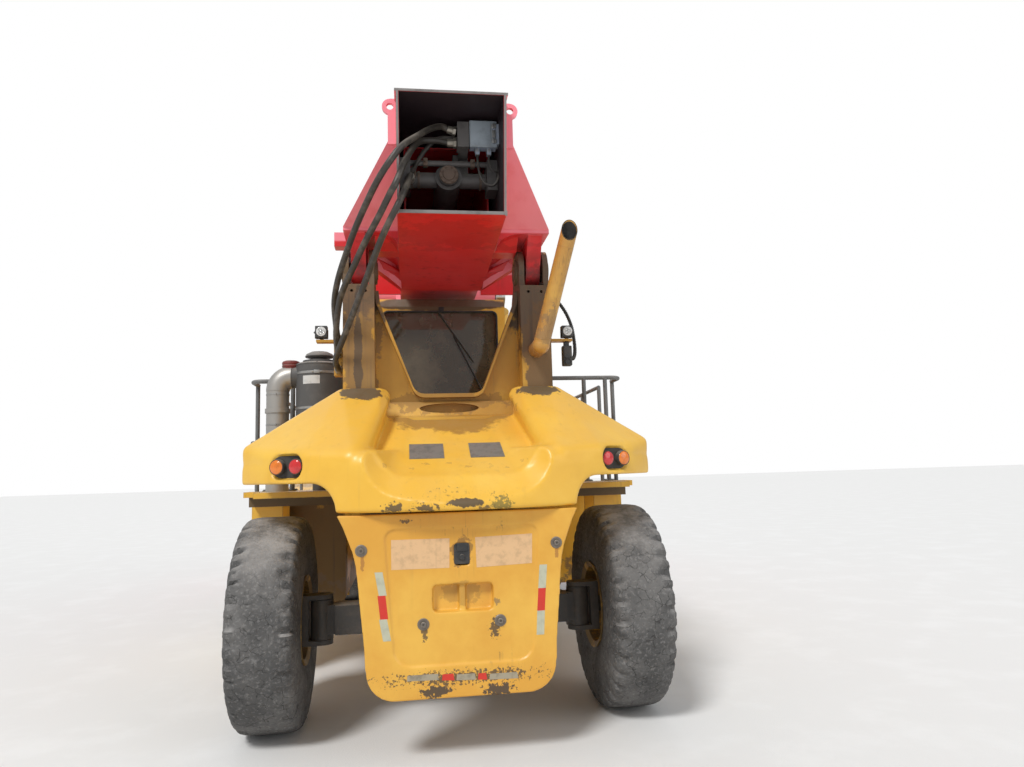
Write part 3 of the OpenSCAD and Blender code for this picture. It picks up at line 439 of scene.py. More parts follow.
def hose_cover():
    coat = Coat("hose_cover", (0.040, 0.034, 0.028), 0.42)
    coat.mottle(9.0, 0.46, 0.66, (0.15, 0.125, 0.10), 0.6, strength=0.7)
    coat.lay(coat.mask("rubbed_edge", width=0.004, amount=0.4), (0.22, 0.20, 0.17), 0.5)
    coat.dusty(0.55, (0.34, 0.30, 0.25), 0.8)
    return coat.finish(bump=(160.0, 0.0012))


def dull_grey(name, colour, roughness=0.5, metallic=0.0, dust=0.5):
    coat = Coat(name, colour, roughness, metallic)
    coat.mottle(7.0, 0.45, 0.68, tuple(c * 0.55 for c in colour), roughness + 0.15, strength=0.7)
    coat.lay(coat.mask("rubbed_edge", width=0.006, amount=0.6), (0.35, 0.34, 0.32), 0.4, 0.8)
    coat.dusty(dust, roughness=0.85)
    return coat.finish(bump=(200.0, 0.0005))


def bright_steel():
    coat = Coat("bright_steel", (0.60, 0.60, 0.60), 0.16, 1.0)
    coat.mottle(12.0, 0.5, 0.7, (0.42, 0.41, 0.39), 0.35, strength=0.7)
    return coat.finish(bump=(300.0, 0.0002))


def dark_glass():
    # The warm brown tint is painted reflection; the gloss coat adds the real one
    coat = Coat("dark_glass", (0.085, 0.066, 0.040), 0.05)
    coat.mottle(3.0, 0.45, 0.7, (0.17, 0.135, 0.085), 0.16, strength=0.6)
    coat.shader.inputs["Alpha"].default_value = 0.88
    coat.gloss(0.8, 0.03)
    return coat.finish()


def lens(name, colour):
    coat = Coat(name, colour, 0.16)
    coat.mottle(30.0, 0.45, 0.7, tuple(c * 0.6 for c in colour), 0.3, strength=0.6)
    coat.gloss(0.8, 0.08)
    return coat.finish()


def film(name, colour, grime=0.6):
    """Thin labels, tapes and pads, dirty and run over by water."""
    coat = Coat(name, colour, 0.42)
    coat.mottle(16.0, 0.45, 0.68, tuple(c * 0.62 for c in colour), 0.6, strength=grime)
    coat.lay(coat.mask("water_runs", density=40.0, amount=0.6), DIRT, 0.7)
    return coat.finish(bump=(300.0, 0.0002))


# Mesh makers


def along(point, direction):
    """A place at point whose own Z axis points along direction."""
    turn = Vector(direction).to_track_quat("Z", "Y").to_matrix().to_4x4()
    return Matrix.Translation(Vector(point)) @ turn


def piece(name, bm, material, body, crease=35):
    """Makes the mesh an object that rides on the body. Edges sharper than crease degrees stay sharp."""
    bmesh.ops.recalc_face_normals(bm, faces=bm.faces)
    mesh = bpy.data.meshes.new(name)
    bm.to_mesh(mesh)
    bm.free()
    mesh.materials.append(material)
    mesh.shade_smooth()
    mesh.set_sharp_from_angle(angle=math.radians(crease))
    made = bpy.data.objects.new(name, mesh)
    bpy.context.collection.objects.link(made)
    if body:
        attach(made, body)
    return made


def stitch(bm, low, high):
    """Faces between two closed rings of as many points."""
    for i in range(len(low)):
        j = (i + 1) % len(low)
        bm.faces.new((low[i], low[j], high[j], high[i]))


def lathe(bm, profile, place, steps=32):
    """Turns (radius, height) points round the place's own Z axis."""
    rings = []
    for radius, height in profile:
        spread = [Vector((0, 0, height))] if radius < 1e-6 else [
            Vector((radius * math.cos(a), radius * math.sin(a), height)) for a in turns(steps)]
        rings.append([bm.verts.new(place @ point) for point in spread])
    for low, high in zip(rings, rings[1:]):
        if len(low) == len(high):
            stitch(bm, low, high)
            continue
        for i in range(steps):
            j = (i + 1) % steps
            bm.faces.new((low[0], high[i], high[j]) if len(low) == 1 else (low[i], low[j], high[0]))


def block(bm, low, high, place=None, rounding=0.004):
    """A box with rounded edges, between two opposite corners."""
    own = bmesh.new()
    bmesh.ops.create_cube(own, size=1.0)
    low, high = Vector(low), Vector(high)
    for v in own.verts:
        v.co = Vector([(low[k] + high[k]) / 2 + v.co[k] * (high[k] - low[k]) for k in range(3)])
    bmesh.ops.bevel(own, geom=own.edges[:], offset=rounding, segments=2, affect="EDGES", profile=0.6)
    twin = {v: bm.verts.new(place @ v.co if place else v.co) for v in own.verts}
    for face in own.faces:
        bm.faces.new([twin[v] for v in face.verts])
    own.free()


def slab(bm, low, high, rounding):
    """A block between two points that are measured from the rear axle."""
    block(bm, spot(*low), spot(*high), rounding=rounding)


def bolt(bm, point, facing, head=0.018, tall=0.016, washer=0.027):
    """A hexagon head on its washer."""
    place = along(point, facing)
    lathe(bm, [(0, 0), (washer, 0), (washer, 0.003), (washer - 0.002, 0.005), (0, 0.005)], place, 24)
    lathe(bm, [(head, 0.005), (head, tall - 0.003), (head * 0.86, tall), (0, tall)], place, 6)


def pipe(bm, points, radius, sides=12, loop=False):
    """A round bar or cable through the points, closed at both ends or joined into a loop.

    radius is one value, or a list with one for each point."""
    points = [Vector(p) for p in points]
    radii = radius if isinstance(radius, list) else [radius] * len(points)
    last = len(points) - 1
    side = None
    rings = []
    for i, p in enumerate(points):
        if loop:
            ahead = (points[(i + 1) % len(points)] - points[i - 1]).normalized()
        else:
            ahead = (points[min(i + 1, last)] - points[max(i - 1, 0)]).normalized()
        if side is None:
            side = ahead.orthogonal().normalized()
        side = (side - ahead * side.dot(ahead)).normalized()
        up = ahead.cross(side)
        rings.append([bm.verts.new(p + radii[i] * (math.cos(a) * side + math.sin(a) * up))
                      for a in turns(sides)])
    for low, high in zip(rings, rings[1:]):
        stitch(bm, low, high)
    if loop:
        join_rings(bm, rings[-1], rings[0])
        return
    bm.faces.new(rings[0][::-1])
    bm.faces.new(rings[-1])


def join_rings(bm, low, high):
    """Closes the gap between two rings, which may start at different places."""

    def gap(shift):
        return sum((v.co - w.co).length for v, w in zip(low, high[shift:] + high[:shift]))

    shift = min(range(len(low)), key=gap)
    stitch(bm, low, high[shift:] + high[:shift])


def weld(bm, points, radius=0.006, step=0.008):
    """A bead of weld along the points, with the small waves that each pass leaves."""
    points = [Vector(p) for p in points]
    line = []
    for a, b in zip(points, points[1:]):
        count = max(2, int((b - a).length / step))
        line += [a.lerp(b, i / count) for i in range(count)]
    line.append(points[-1])
    waves = [radius * (0.82 + 0.18 * (i % 2) + 0.22 * noise.noise(p * 31)) for i, p in enumerate(line)]
    pipe(bm, line, waves, 6)


def soft_loop(x0, x1, z0, z1, r, steps=6):
    """Flat points round a rectangle with round corners."""
    loop = []
    for cx, cz, start in ((x1 - r, z1 - r, 0), (x0 + r, z1 - r, 90), (x0 + r, z0 + r, 180),
                          (x1 - r, z0 + r, 270)):
        for k in range(steps + 1):
            a = math.radians(start + 90 * k / steps)
            loop.append((cx + r * math.cos(a), cz + r * math.sin(a)))
    return loop


def curve_points(keys, steps=12):
    """A smooth line through the points, the same one that the solids follow."""
    keys = [Vector(k) for k in keys]
    line = []
    for i in range(len(keys) - 1):
        a, b = keys[max(i - 1, 0)], keys[i]
        c, d = keys[i + 1], keys[min(i + 2, len(keys) - 1)]
        for j in range(steps):
            t = j / steps
            line.append(0.5 * (2 * b + (c - a) * t + (2 * a - 5 * b + 4 * c - d) * t * t
                               + (3 * b - a - 3 * c + d) * t ** 3))
    return line + [keys[-1]]


def on_node(node, start, direction):
    """Where a line from start first meets the node, and how the node faces there."""
    met, where, normal, _ = nodes[node].ray_cast(start, direction)
    if not met:
        raise ValueError(f"nothing of {node} lies there")
    return where, normal


# How far a laid sheet stays off the surface below it, and from how far ahead of it the surface is looked for
SHEET_GAP = 0.0002
CAST_FROM = 0.5


def skin_patch(bm, node, corners, direction, count, thick):
    """A thin sheet laid on a node's surface, between four corners that are cast along direction."""
    a, b, c, d = corners
    w, h = count
    grid = []
    for j in range(h + 1):
        row = []
        for i in range(w + 1):
            p = a.lerp(b, i / w).lerp(d.lerp(c, i / w), j / h)
            row.append(on_node(node, p - Vector(direction) * CAST_FROM, direction))
        grid.append(row)
    top = [[bm.verts.new(p + n * thick) for p, n in row] for row in grid]
    low = [[bm.verts.new(p + n * SHEET_GAP) for p, n in row] for row in grid]
    for j in range(h):
        for i in range(w):
            bm.faces.new((top[j][i], top[j][i + 1], top[j + 1][i + 1], top[j + 1][i]))
            bm.faces.new((low[j][i], low[j + 1][i], low[j + 1][i + 1], low[j][i + 1]))
    rim = ([(0, i) for i in range(w)] + [(j, w) for j in range(h)] + [(h, i) for i in range(w, 0, -1)]
           + [(j, 0) for j in range(h, 0, -1)])
    for k, (j, i) in enumerate(rim):
        m, n = rim[(k + 1) % len(rim)]
        bm.faces.new((top[j][i], top[m][n], low[m][n], low[j][i]))


# Tires

# Half of their outline as (radius, half width), and how many steps they have round
TREAD = [
    (0.318, 0.208), (0.34, 0.219), (0.363, 0.228), (0.4, 0.238), (0.438, 0.245), (0.478, 0.2485),
    (0.518, 0.25), (0.565, 0.249), (0.608, 0.246), (0.65, 0.243), (0.69, 0.24), (0.72, 0.236),
    (0.745, 0.231), (0.765, 0.222), (0.779, 0.21), (0.788, 0.198), (0.793, 0.186), (0.798, 0.165),
    (0.802, 0.142), (0.805, 0.115), (0.805, 0.085), (0.805, 0.055), (0.805, 0.028)]
STEPS_ROUND = 288
# How many lugs there are, the radius where their grooves begin, and how deep the grooves are
LUGS = 36
LUG_FOOT = 0.70
LUG_DEPTH = 0.030
# Half the width of the smooth middle, the width over which the grooves deepen, and the side wall's top radius
SMOOTH_HALF = 0.125
LUG_RISE = 0.055
WALL_TOP = 0.79


def tire(bm, x, y, seed):
    """A worn tire: smooth in the middle, with broken lugs at both shoulders."""
    line = [(r, -w) for r, w in TREAD] + [(TIRE_RADIUS, 0.0)] + [(r, w) for r, w in reversed(TREAD)]
    rings = []
    for i, a in enumerate(turns(STEPS_ROUND)):
        ring = []
        for r, w in line:
            side = 1 if w > 0 else -1
            ragged = noise.noise(Vector((math.cos(a) * 9, math.sin(a) * 9, seed + side * 3)))
            fine = noise.noise(Vector((math.cos(a) * 34, math.sin(a) * 34, w * 22 + seed)))
            cut = 0.0
            if r > LUG_FOOT:
                beat = (i / STEPS_ROUND * LUGS + 0.35 * ragged + 0.5 * (side < 0)) % 1.0
                gap = max(0.0, 1 - abs(beat - 0.5) / (0.20 + 0.06 * ragged)) ** 0.45
                out = abs(w) - SMOOTH_HALF + 0.035 * ragged + 0.015 * fine
                reach = min(1.0, max(0.0, out / LUG_RISE))
                foot = min(1.0, (r - LUG_FOOT) / 0.03)
                groove = gap * reach * foot * (LUG_DEPTH + 0.010 * ragged)
                chips = max(0.0, fine - 0.1) * 0.016 * reach * foot
                wear = 0.0022 * (1 + fine) * (1 - reach)
                cut = groove + chips + wear
            lean = min(1.0, max(0.0, (WALL_TOP - r) / 0.09))
            radius = r - cut * (1 - 0.8 * lean)
            ring.append(bm.verts.new((x + w - side * cut * 0.8 * lean, y - MIDDLE + radius * math.sin(a),
                                      TIRE_RADIUS + radius * math.cos(a))))
        rings.append(ring)
    for low, high in zip(rings, rings[1:] + rings[:1]):
        stitch(bm, low, high)


def tires():
    rubber = dusty_rubber()
    for axle, y, out in (("rear_tire", 0.0, (1.38,)), ("front_tires", WHEELBASE, (1.24, 1.825))):
        for sign, side in SIDES:
            bm = bmesh.new()
            for k, x in enumerate(out):
                tire(bm, sign * x, y, 3.1 * k + sign * x)
            body = axle.split("_")[0] + "_wheel_" + side
            made = piece(f"worn_{axle}_{side}", bm, rubber, body, 40)
            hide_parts(f"{axle}_{side}")


def wheel_nuts():
    steel = dull_grey("nut_steel", (0.30, 0.27, 0.23), 0.45, 0.6)
    # Count, radius of their circle, how far out and ahead it lies, height of a nut, radius of its washer
    rows = {"rear": (16, 0.135, 1.4425, 0.0, 0.024, 0.019),
            "front": (20, 0.196, 1.7155, WHEELBASE, 0.026, 0.0185)}
    for sign, side in SIDES:
        for axle, (count, circle, out, y, tall, washer) in rows.items():
            bm = bmesh.new()
            for a in turns(count):
                middle = spot(sign * out, y + circle * math.sin(a), TIRE_RADIUS + circle * math.cos(a))
                bolt(bm, middle, (sign, 0, 0), 0.015, tall, washer)
            piece(f"{axle}_nuts_{side}", bm, steel, f"{axle}_wheel_{side}")


# Rear weight


def cast_weight(node, finish, grain, rounds):
    """A weight's casting, with its edges softened as the mould leaves them. It takes the node's place."""
    made = bpy.data.objects.new("cast_" + node, nodes[node].data.copy())
    bpy.context.collection.objects.link(made)
    rough = made.modifiers.new("rough", "REMESH")
    rough.mode, rough.voxel_size = "VOXEL", grain
    soft = made.modifiers.new("soft", "SMOOTH")
    soft.factor, soft.iterations = 0.5, rounds
    bpy.context.view_layer.update()
    mesh = bpy.data.meshes.new_from_object(made.evaluated_get(bpy.context.evaluated_depsgraph_get()))
    made.modifiers.clear()
    made.data = mesh
    mesh.materials.clear()
    mesh.materials.append(finish)
    mesh.shade_smooth()
    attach(made, "carrier")
    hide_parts(node)
    nodes[node] = made
    bpy.context.view_layer.update()


def laid_on_plate(name, material, outlines, count, thick):
    """Thin sheets on the lower weight's rear face, each given by four (x, z) corners."""
    bm = bmesh.new()
    for outline in outlines:
        skin_patch(bm, "counterweight_lower", [spot(x, -1.3, z) for x, z in outline], FORWARD, count, thick)
    piece(name, bm, material, "carrier")


def reflector(top_x, low_x, top_z, low_z):
    """A strip 52 mm wide that leans with the plate's edge."""
    inward = 0.052 if top_x < 0 else -0.052
    return [(low_x, low_z), (low_x + inward, low_z), (top_x + inward, top_z), (top_x, top_z)]


def tape(x0, x1, z0, z1):
    """A strip that was stuck on a little out of square."""
    return [(x0, z0), (x1, z0 - 0.004), (x1 - 0.006, z1), (x0 + 0.004, z1)]


def rear_weight():
    """Bolts, grip pads, blank labels, reflectors, tapes and the latch."""
    steel = dull_grey("bolt_steel", (0.20, 0.17, 0.14), 0.5, 0.4)
    bm = bmesh.new()
    for point in spots((-0.662, -1.05, 1.417), (0.662, -1.05, 1.417), (-0.257, -1.036, 0.917),
                       (0.261, -1.036, 0.915)):
        place = along(point, REARWARD)
        lathe(bm, [(0, 0), (0.040, 0), (0.040, 0.004), (0.036, 0.007), (0.022, 0.007), (0.022, 0.004),
                   (0, 0.004)], place)
        lathe(bm, [(0.019, 0.004), (0.019, 0.020), (0.016, 0.023), (0.009, 0.023), (0.009, 0.014),
                   (0, 0.014)], place, 12)
    piece("weight_bolts", bm, steel, "carrier")

    bm = bmesh.new()
    for left, low_right, top_right in ((-0.335, -0.085, -0.085), (0.105, 0.355, 0.345)):
        corners = spots((left, -0.80, 2.6), (low_right, -0.80, 2.6), (top_right, -0.60, 2.6),
                        (left, -0.60, 2.6))
        skin_patch(bm, "counterweight_upper", corners, (0, 0, -1), (6, 5), 0.004)
    piece("grip_pads", bm, film("grip_pad", (0.20, 0.19, 0.165), 0.7), "carrier")

    white = film("reflector_white", (0.50, 0.50, 0.37), 0.4)
    grimy = film("grimy_tape", (0.36, 0.31, 0.22), 0.9)
    red = film("reflector_red", (0.62, 0.035, 0.02), 0.2)
    laid_on_plate("blank_labels", film("blank_label", (0.72, 0.46, 0.24), 0.5), [
        [(-0.465, 1.281), (-0.077, 1.278), (-0.073, 1.474), (-0.465, 1.478)],
        [(0.108, 1.272), (0.490, 1.284), (0.497, 1.484), (0.102, 1.474)]], (4, 2), 0.0012)
    laid_on_plate("reflectors_white", white, [
        reflector(-0.575, -0.548, 1.272, 1.119), reflector(-0.548, -0.522, 0.966, 0.825),
        reflector(0.592, 0.578, 1.272, 1.115), reflector(0.566, 0.556, 0.966, 0.808)], (2, 3), 0.001)
    laid_on_plate("reflectors_red", red, [
        reflector(-0.557, -0.540, 1.119, 0.966), reflector(0.578, 0.566, 1.115, 0.966)], (2, 3), 0.001)
    laid_on_plate("tape_red", red, [
        tape(-0.140, -0.058, 0.553, 0.592), tape(0.098, 0.160, 0.543, 0.583)], (3, 2), 0.0008)
    laid_on_plate("tape_white", grimy, [
        tape(-0.37, -0.16, 0.562, 0.598), tape(-0.045, 0.085, 0.548, 0.585),
        tape(0.175, 0.37, 0.538, 0.575)], (3, 2), 0.0008)

    bm = bmesh.new()
    slab(bm, (-0.050, -1.030, 1.298), (0.070, -1.012, 1.470), 0.006)
    slab(bm, (-0.026, -1.040, 1.385), (0.046, -1.028, 1.440), 0.005)
    lathe(bm, [(0, 0), (0.020, 0), (0.020, 0.010), (0.016, 0.014), (0, 0.014)],
          along(spot(0.010, -1.030, 1.345), REARWARD))
    piece("latch", bm, greasy_metal("latch_black", (0.03, 0.03, 0.03), 0.4, 0.3), "carrier")


def rear_lamps():
    """A long tray in each wing of the upper weight, with a red lamp inside and an amber one outside."""
    out, wing_radius, wing_middle, toe = 1.170, 1.94, 0.740, math.radians(24)
    back = wing_middle - math.sqrt(wing_radius ** 2 - out ** 2)
    outline = []
    for middle, start in ((0.064, -90), (-0.064, 90)):
        for k in range(13):
            a = math.radians(start + 15 * k)
            outline.append((middle + 0.078 * math.cos(a), 0.078 * math.sin(a)))
    dome = [(0.0502, -0.012)]
    for k in range(10):
        a = math.radians(9 * k)
        dome.append((0.0502 * math.cos(a), 0.014 * math.sin(a) + 0.0006 * (k % 2)))
    dome.append((0, 0.014))

    tray = bmesh.new()
    lenses = {"amber": bmesh.new(), "red": bmesh.new()}
    for sign, _ in SIDES:
        place = (Matrix.Translation(spot(sign * out, back + 0.09, 1.990))
                 @ Matrix.Rotation(sign * toe, 4, "Z"))
        for near, far, grow in ((-0.006, -0.016, 1.0), (-0.016, -0.019, 0.96)):
            low, high = ([tray.verts.new(place @ Vector((x * grow, y, z * grow))) for x, z in outline]
                         for y in (near, far))
            stitch(tray, low, high)
            tray.faces.new(high)
            tray.faces.new(low)
        for colour, x in (("red", -0.076), ("amber", 0.076)):
            middle = (place @ Matrix.Translation((x * sign, -0.0625, 0))
                      @ Matrix.Rotation(math.radians(90), 4, "X"))
            lathe(tray, [(0.0535, -0.035), (0.0560, -0.033), (0.0560, -0.002), (0.054, 0.003),
                         (0.0505, 0.003), (0.0505, -0.035)], middle, 40)
            lathe(lenses[colour], dome, middle, 40)
    piece("lamp_trays", tray, greasy_metal("lamp_housing", (0.045, 0.042, 0.04), 0.6, 0.3), "carrier")
    for colour, tint in (("amber", (0.80, 0.20, 0.012)), ("red", (0.62, 0.02, 0.02))):
        glass = lens(colour + "_lens", tint)
        piece("lamp_lenses_" + colour, lenses[colour], glass, "carrier", 60)


# Hoses and boom fittings. The routes are in millimetres.

HOSE_ROUTES = [
    [(56.4, -700, 4545), (0, -702, 4558), (-65, -732, 4568), (-156, -812, 4503), (-249, -925, 4392),
     (-360, -1075, 4242), (-452, -1100, 4108), (-541, -1030, 3988), (-624, -900, 3872), (-713, -750, 3733),
     (-791, -600, 3587), (-865, -450, 3424), (-907, -290, 3280), (-905, -170, 3120), (-900, -80, 3040),
     (-900, 26, 3040)],
    [(56.4, -700, 4450), (0, -701, 4451), (-100, -722, 4456), (-240, -790, 4405), (-335, -985, 4180),
     (-398, -1060, 3994), (-451, -1030, 3900), (-531, -930, 3773), (-655, -750, 3604), (-730, -630, 3485),
     (-807, -500, 3372), (-862, -372, 3262), (-900, -220, 3060), (-900, -90, 2920), (-900, 26, 2920)],
    [(-300, -621.6, 4180), (-300, -710, 4176), (-308, -810, 4120), (-328, -903, 4030), (-358, -973, 3925),
     (-402, -997, 3820), (-458, -948, 3725), (-525, -830, 3620), (-592, -705, 3490), (-660, -580, 3350),
     (-830, -330, 3000), (-905, -190, 2850), (-900, -85, 2790), (-900, 26, 2790)]]
HOSE_RADIUS = 0.024


def hoses():
    """Three hoses from the boom's open end to the clamp on the left fork, with a fitting at both ends."""
    cover = hose_cover()
    steel = dull_grey("fitting_steel", (0.34, 0.31, 0.26), 0.4, 0.7)
    ends = {"boom": bmesh.new(), "carrier": bmesh.new()}
    for number, route in enumerate(HOSE_ROUTES, 1):
        line = curve_points([spot(x / 1000, y / 1000, z / 1000) for x, y, z in route])
        bm = bmesh.new()
        pipe(bm, line, HOSE_RADIUS, 20)
        made = piece(f"hose_{number}", bm, cover, None)
        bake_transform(made)
        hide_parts("boom_hoses")
        for body, p, q in (("boom", line[0], line[2]), ("carrier", line[-1], line[-3])):
            place = along(p, (q - p).normalized())
            lathe(ends[body], [(0.0245, 0.012), (0.030, 0.014), (0.0315, 0.026), (0.030, 0.031),
                               (0.0315, 0.037), (0.030, 0.043), (0.0315, 0.049), (0.030, 0.055),
                               (0.0315, 0.061), (0.029, 0.070), (0.0245, 0.072)], place, 24)
            lathe(ends[body], [(0.026, 0.0), (0.038, 0.001), (0.038, 0.022), (0.034, 0.026), (0.026, 0.026)],
                  place, 6)
    piece("hose_ends_boom", ends["boom"], steel, "boom")
    piece("hose_ends_tower", ends["carrier"], steel, "carrier")


def boom_rim():
    """Bare steel bars round the boom's open end, on its slanted face."""
    slant = Vector((0, -0.180, 0.860))
    rise, tall = slant.normalized(), slant.length
    turn = Matrix(((1, 0, 0), rise, Vector((0, -rise.z, rise.y)))).transposed().to_4x4()
    place = Matrix.Translation(spot(0, -0.930, 3.800)) @ turn
    bm = bmesh.new()
    for low, high in (((-0.400, 0.020, -0.004), (-0.383, tall - 0.014, 0.005)),
                      ((0.383, 0.020, -0.004), (0.400, tall - 0.014, 0.005)),
                      ((-0.412, tall - 0.018, -0.004), (0.412, tall, 0.005)),
                      ((-0.400, 0.0, -0.004), (0.400, 0.024, 0.007)),
                      ((-0.406, -0.006, -0.004), (-0.388, 0.030, 0.010)),
                      ((0.388, -0.006, -0.004), (0.406, 0.030, 0.010))):
        block(bm, low, high, place, 0.0015)
    piece("boom_rim", bm, dull_grey("bare_edge", (0.27, 0.25, 0.24), 0.55, 0.4, 0.25), "boom")


def boom_welds(finish):
    bm = bmesh.new()
    for side, _ in SIDES:
        for x, start, end in ((0.402, (-0.957, 4.31), (-0.957, 4.635)),
                              (0.402, (-0.345, 3.897), (-0.955, 4.325)),
                              (0.402, (-0.340, 3.898), (0.40, 3.898)),
                              (0.664, (-0.30, 3.84), (0.38, 3.84))):
            weld(bm, [spot(side * x, *start), spot(side * x, *end)])
    piece("boom_welds", bm, finish, "boom", 60)


# Upper and lower edge of the right flare, from the ear inwards
FLARE_EDGES = [
    ((0.650, 0.285, 3.877), (0.647, 0.285, 3.755)), ((0.588, 0.290, 3.874), (0.569, 0.325, 3.715)),
    ((0.527, 0.320, 3.868), (0.499, 0.430, 3.687)), ((0.470, 0.380, 3.857), (0.435, 0.570, 3.668)),
    ((0.437, 0.430, 3.847), (0.400, 0.670, 3.664)), ((0.393, 0.500, 3.812), (0.385, 0.740, 3.664))]


def saddle_flares():
    """The pressed flares that close the corners between the boom's belly and its ears, faded red with a
    painted sunlit highlight.
    """
    # Pale pink: partly faded paint, partly a painted sunlit highlight
    sunlit_bleached = Coat("flare_paint", (0.95, 0.25, 0.31), 0.45)
    sunlit_bleached.mottle(5.0, 0.5, 0.7, RED_SUN, 0.5, strength=0.5)
    sunlit_bleached.dusty(0.3)
    paint = sunlit_bleached.finish(bump=(240.0, 0.0004))
    steps, dish, thick = 5, 0.006, Vector((0, 0.010, 0))
    for sign, side in SIDES:
        bm = bmesh.new()
        rings = []
        for upper, lower in FLARE_EDGES:
            a, b = (spot(sign * x, y, z) for x, y, z in (upper, lower))
            face = [a.lerp(b, k / steps) + Vector((0, dish * math.sin(k * math.pi / steps), 0))
                    for k in range(steps + 1)]
            back = [point + thick for point in reversed(face)]
            rings.append([bm.verts.new(point) for point in face + back])
        for low, high in zip(rings, rings[1:]):
            stitch(bm, low, high)
        for end in (rings[0], rings[-1]):
            for k in range(steps):
                bm.faces.new((end[k], end[k + 1], end[-2 - k], end[-1 - k]))
        piece("saddle_flare_" + side, bm, paint, "boom", 60)


def boom_lines(rubber):
    """The short line from the valve block to the shaft, and the loop of cable below the electric box."""
    bm = bmesh.new()
    feed = curve_points(spots(
        (0.060, -0.672, 4.485), (0.0, -0.678, 4.500), (-0.090, -0.675, 4.490), (-0.170, -0.665, 4.420),
        (-0.235, -0.650, 4.330), (-0.270, -0.615, 4.275), (-0.302, -0.580, 4.255)), 8)
    pipe(bm, feed, 0.017, 16)
    for p, q in ((feed[0], feed[3]), (feed[-1], feed[-4])):
        lathe(bm, [(0.012, 0), (0.024, 0.001), (0.024, 0.018), (0.0215, 0.021), (0.0215, 0.046),
                   (0.017, 0.050)], along(p, q - p), 18)
    pipe(bm, curve_points(spots(
        (0.215, -0.720, 4.352), (0.217, -0.728, 4.290), (0.226, -0.738, 4.200), (0.258, -0.742, 4.125),
        (0.305, -0.740, 4.098), (0.345, -0.735, 4.112), (0.372, -0.720, 4.165), (0.3795, -0.690, 4.215)), 6),
        0.0095, 12)
    pipe(bm, curve_points(spots(
        (0.305, -0.720, 4.352), (0.306, -0.725, 4.300), (0.322, -0.735, 4.235), (0.355, -0.730, 4.215),
        (0.3795, -0.690, 4.225)), 6), 0.007, 12)
    slab(bm, (0.364, -0.712, 4.195), (0.3798, -0.672, 4.245), 0.003)
    piece("boom_lines", bm, rubber, "boom", 50)


def shaft_fittings(rusty):
    """Collars, bolted cover, two blocks and a bent pin on the shaft across the boom."""
    height = 4.235
    bm = bmesh.new()
    for x in (-0.30, -0.245, 0.245, 0.30):
        lathe(bm, [(0.060, 0), (0.071, 0.002), (0.071, 0.020), (0.060, 0.022)],
              along(spot(x, -0.480, height), (1, 0, 0)), 36)
    lathe(bm, [(0, 0), (0.076, 0), (0.076, 0.010), (0.073, 0.014), (0.050, 0.014), (0.045, 0.022),
               (0.024, 0.025), (0, 0.025)], along(spot(0, -0.5995, height), REARWARD), 48)
    for k in range(8):
        a = math.pi * (k + 0.5) / 4
        bolt(bm, spot(0.061 * math.cos(a), -0.6130, height + 0.061 * math.sin(a)), REARWARD, 0.0075, 0.010,
             0.0105)
    for x in (-0.20, 0.17):
        slab(bm, (x, -0.625, 4.299), (x + 0.036, -0.568, 4.361), 0.005)
        bolt(bm, spot(x + 0.018, -0.625, 4.330), REARWARD, 0.008, 0.012, 0.011)
    pin = curve_points(spots((-0.262, -0.54, height), (-0.262, -0.575, 4.285), (-0.255, -0.60, 4.33)), 4)
    pipe(bm, pin, 0.010)
    piece("shaft_fittings", bm, rusty, "boom")


def electric_box():
    """The cover, hinges, catch and cable glands of the box on the boom's end."""
    shell = dull_grey("box_paint", (0.36, 0.41, 0.46), 0.35, 0.0, 0.15)
    metal = dull_grey("hinge_metal", (0.45, 0.45, 0.44), 0.35, 0.8, 0.2)
    bm = bmesh.new()
    slab(bm, (0.154, -0.778, 4.394), (0.366, -0.758, 4.606), 0.007)
    slab(bm, (0.162, -0.784, 4.402), (0.316, -0.777, 4.598), 0.003)
    piece("box_cover", bm, shell, "boom")
    bm = bmesh.new()
    for z in (4.425, 4.545):
        slab(bm, (0.322, -0.790, z), (0.360, -0.777, z + 0.034), 0.004)
        pipe(bm, [spot(0.341, -0.791, z - 0.006), spot(0.341, -0.791, z + 0.040)], 0.0055)
        bolt(bm, spot(0.352, -0.789, z + 0.017), REARWARD, 0.005, 0.006, 0.007)
    slab(bm, (0.326, -0.786, 4.470), (0.356, -0.777, 4.530), 0.003)
    for x in (0.215, 0.305):
        lathe(bm, [(0.017, -0.005), (0.022, -0.004), (0.022, 0.030), (0.018, 0.034), (0.018, 0.050),
                   (0.010, 0.054), (0, 0.054)], along(spot(x, -0.72, 4.402), (0, 0, -1)), 18)
    piece("box_fittings", bm, metal, "boom")


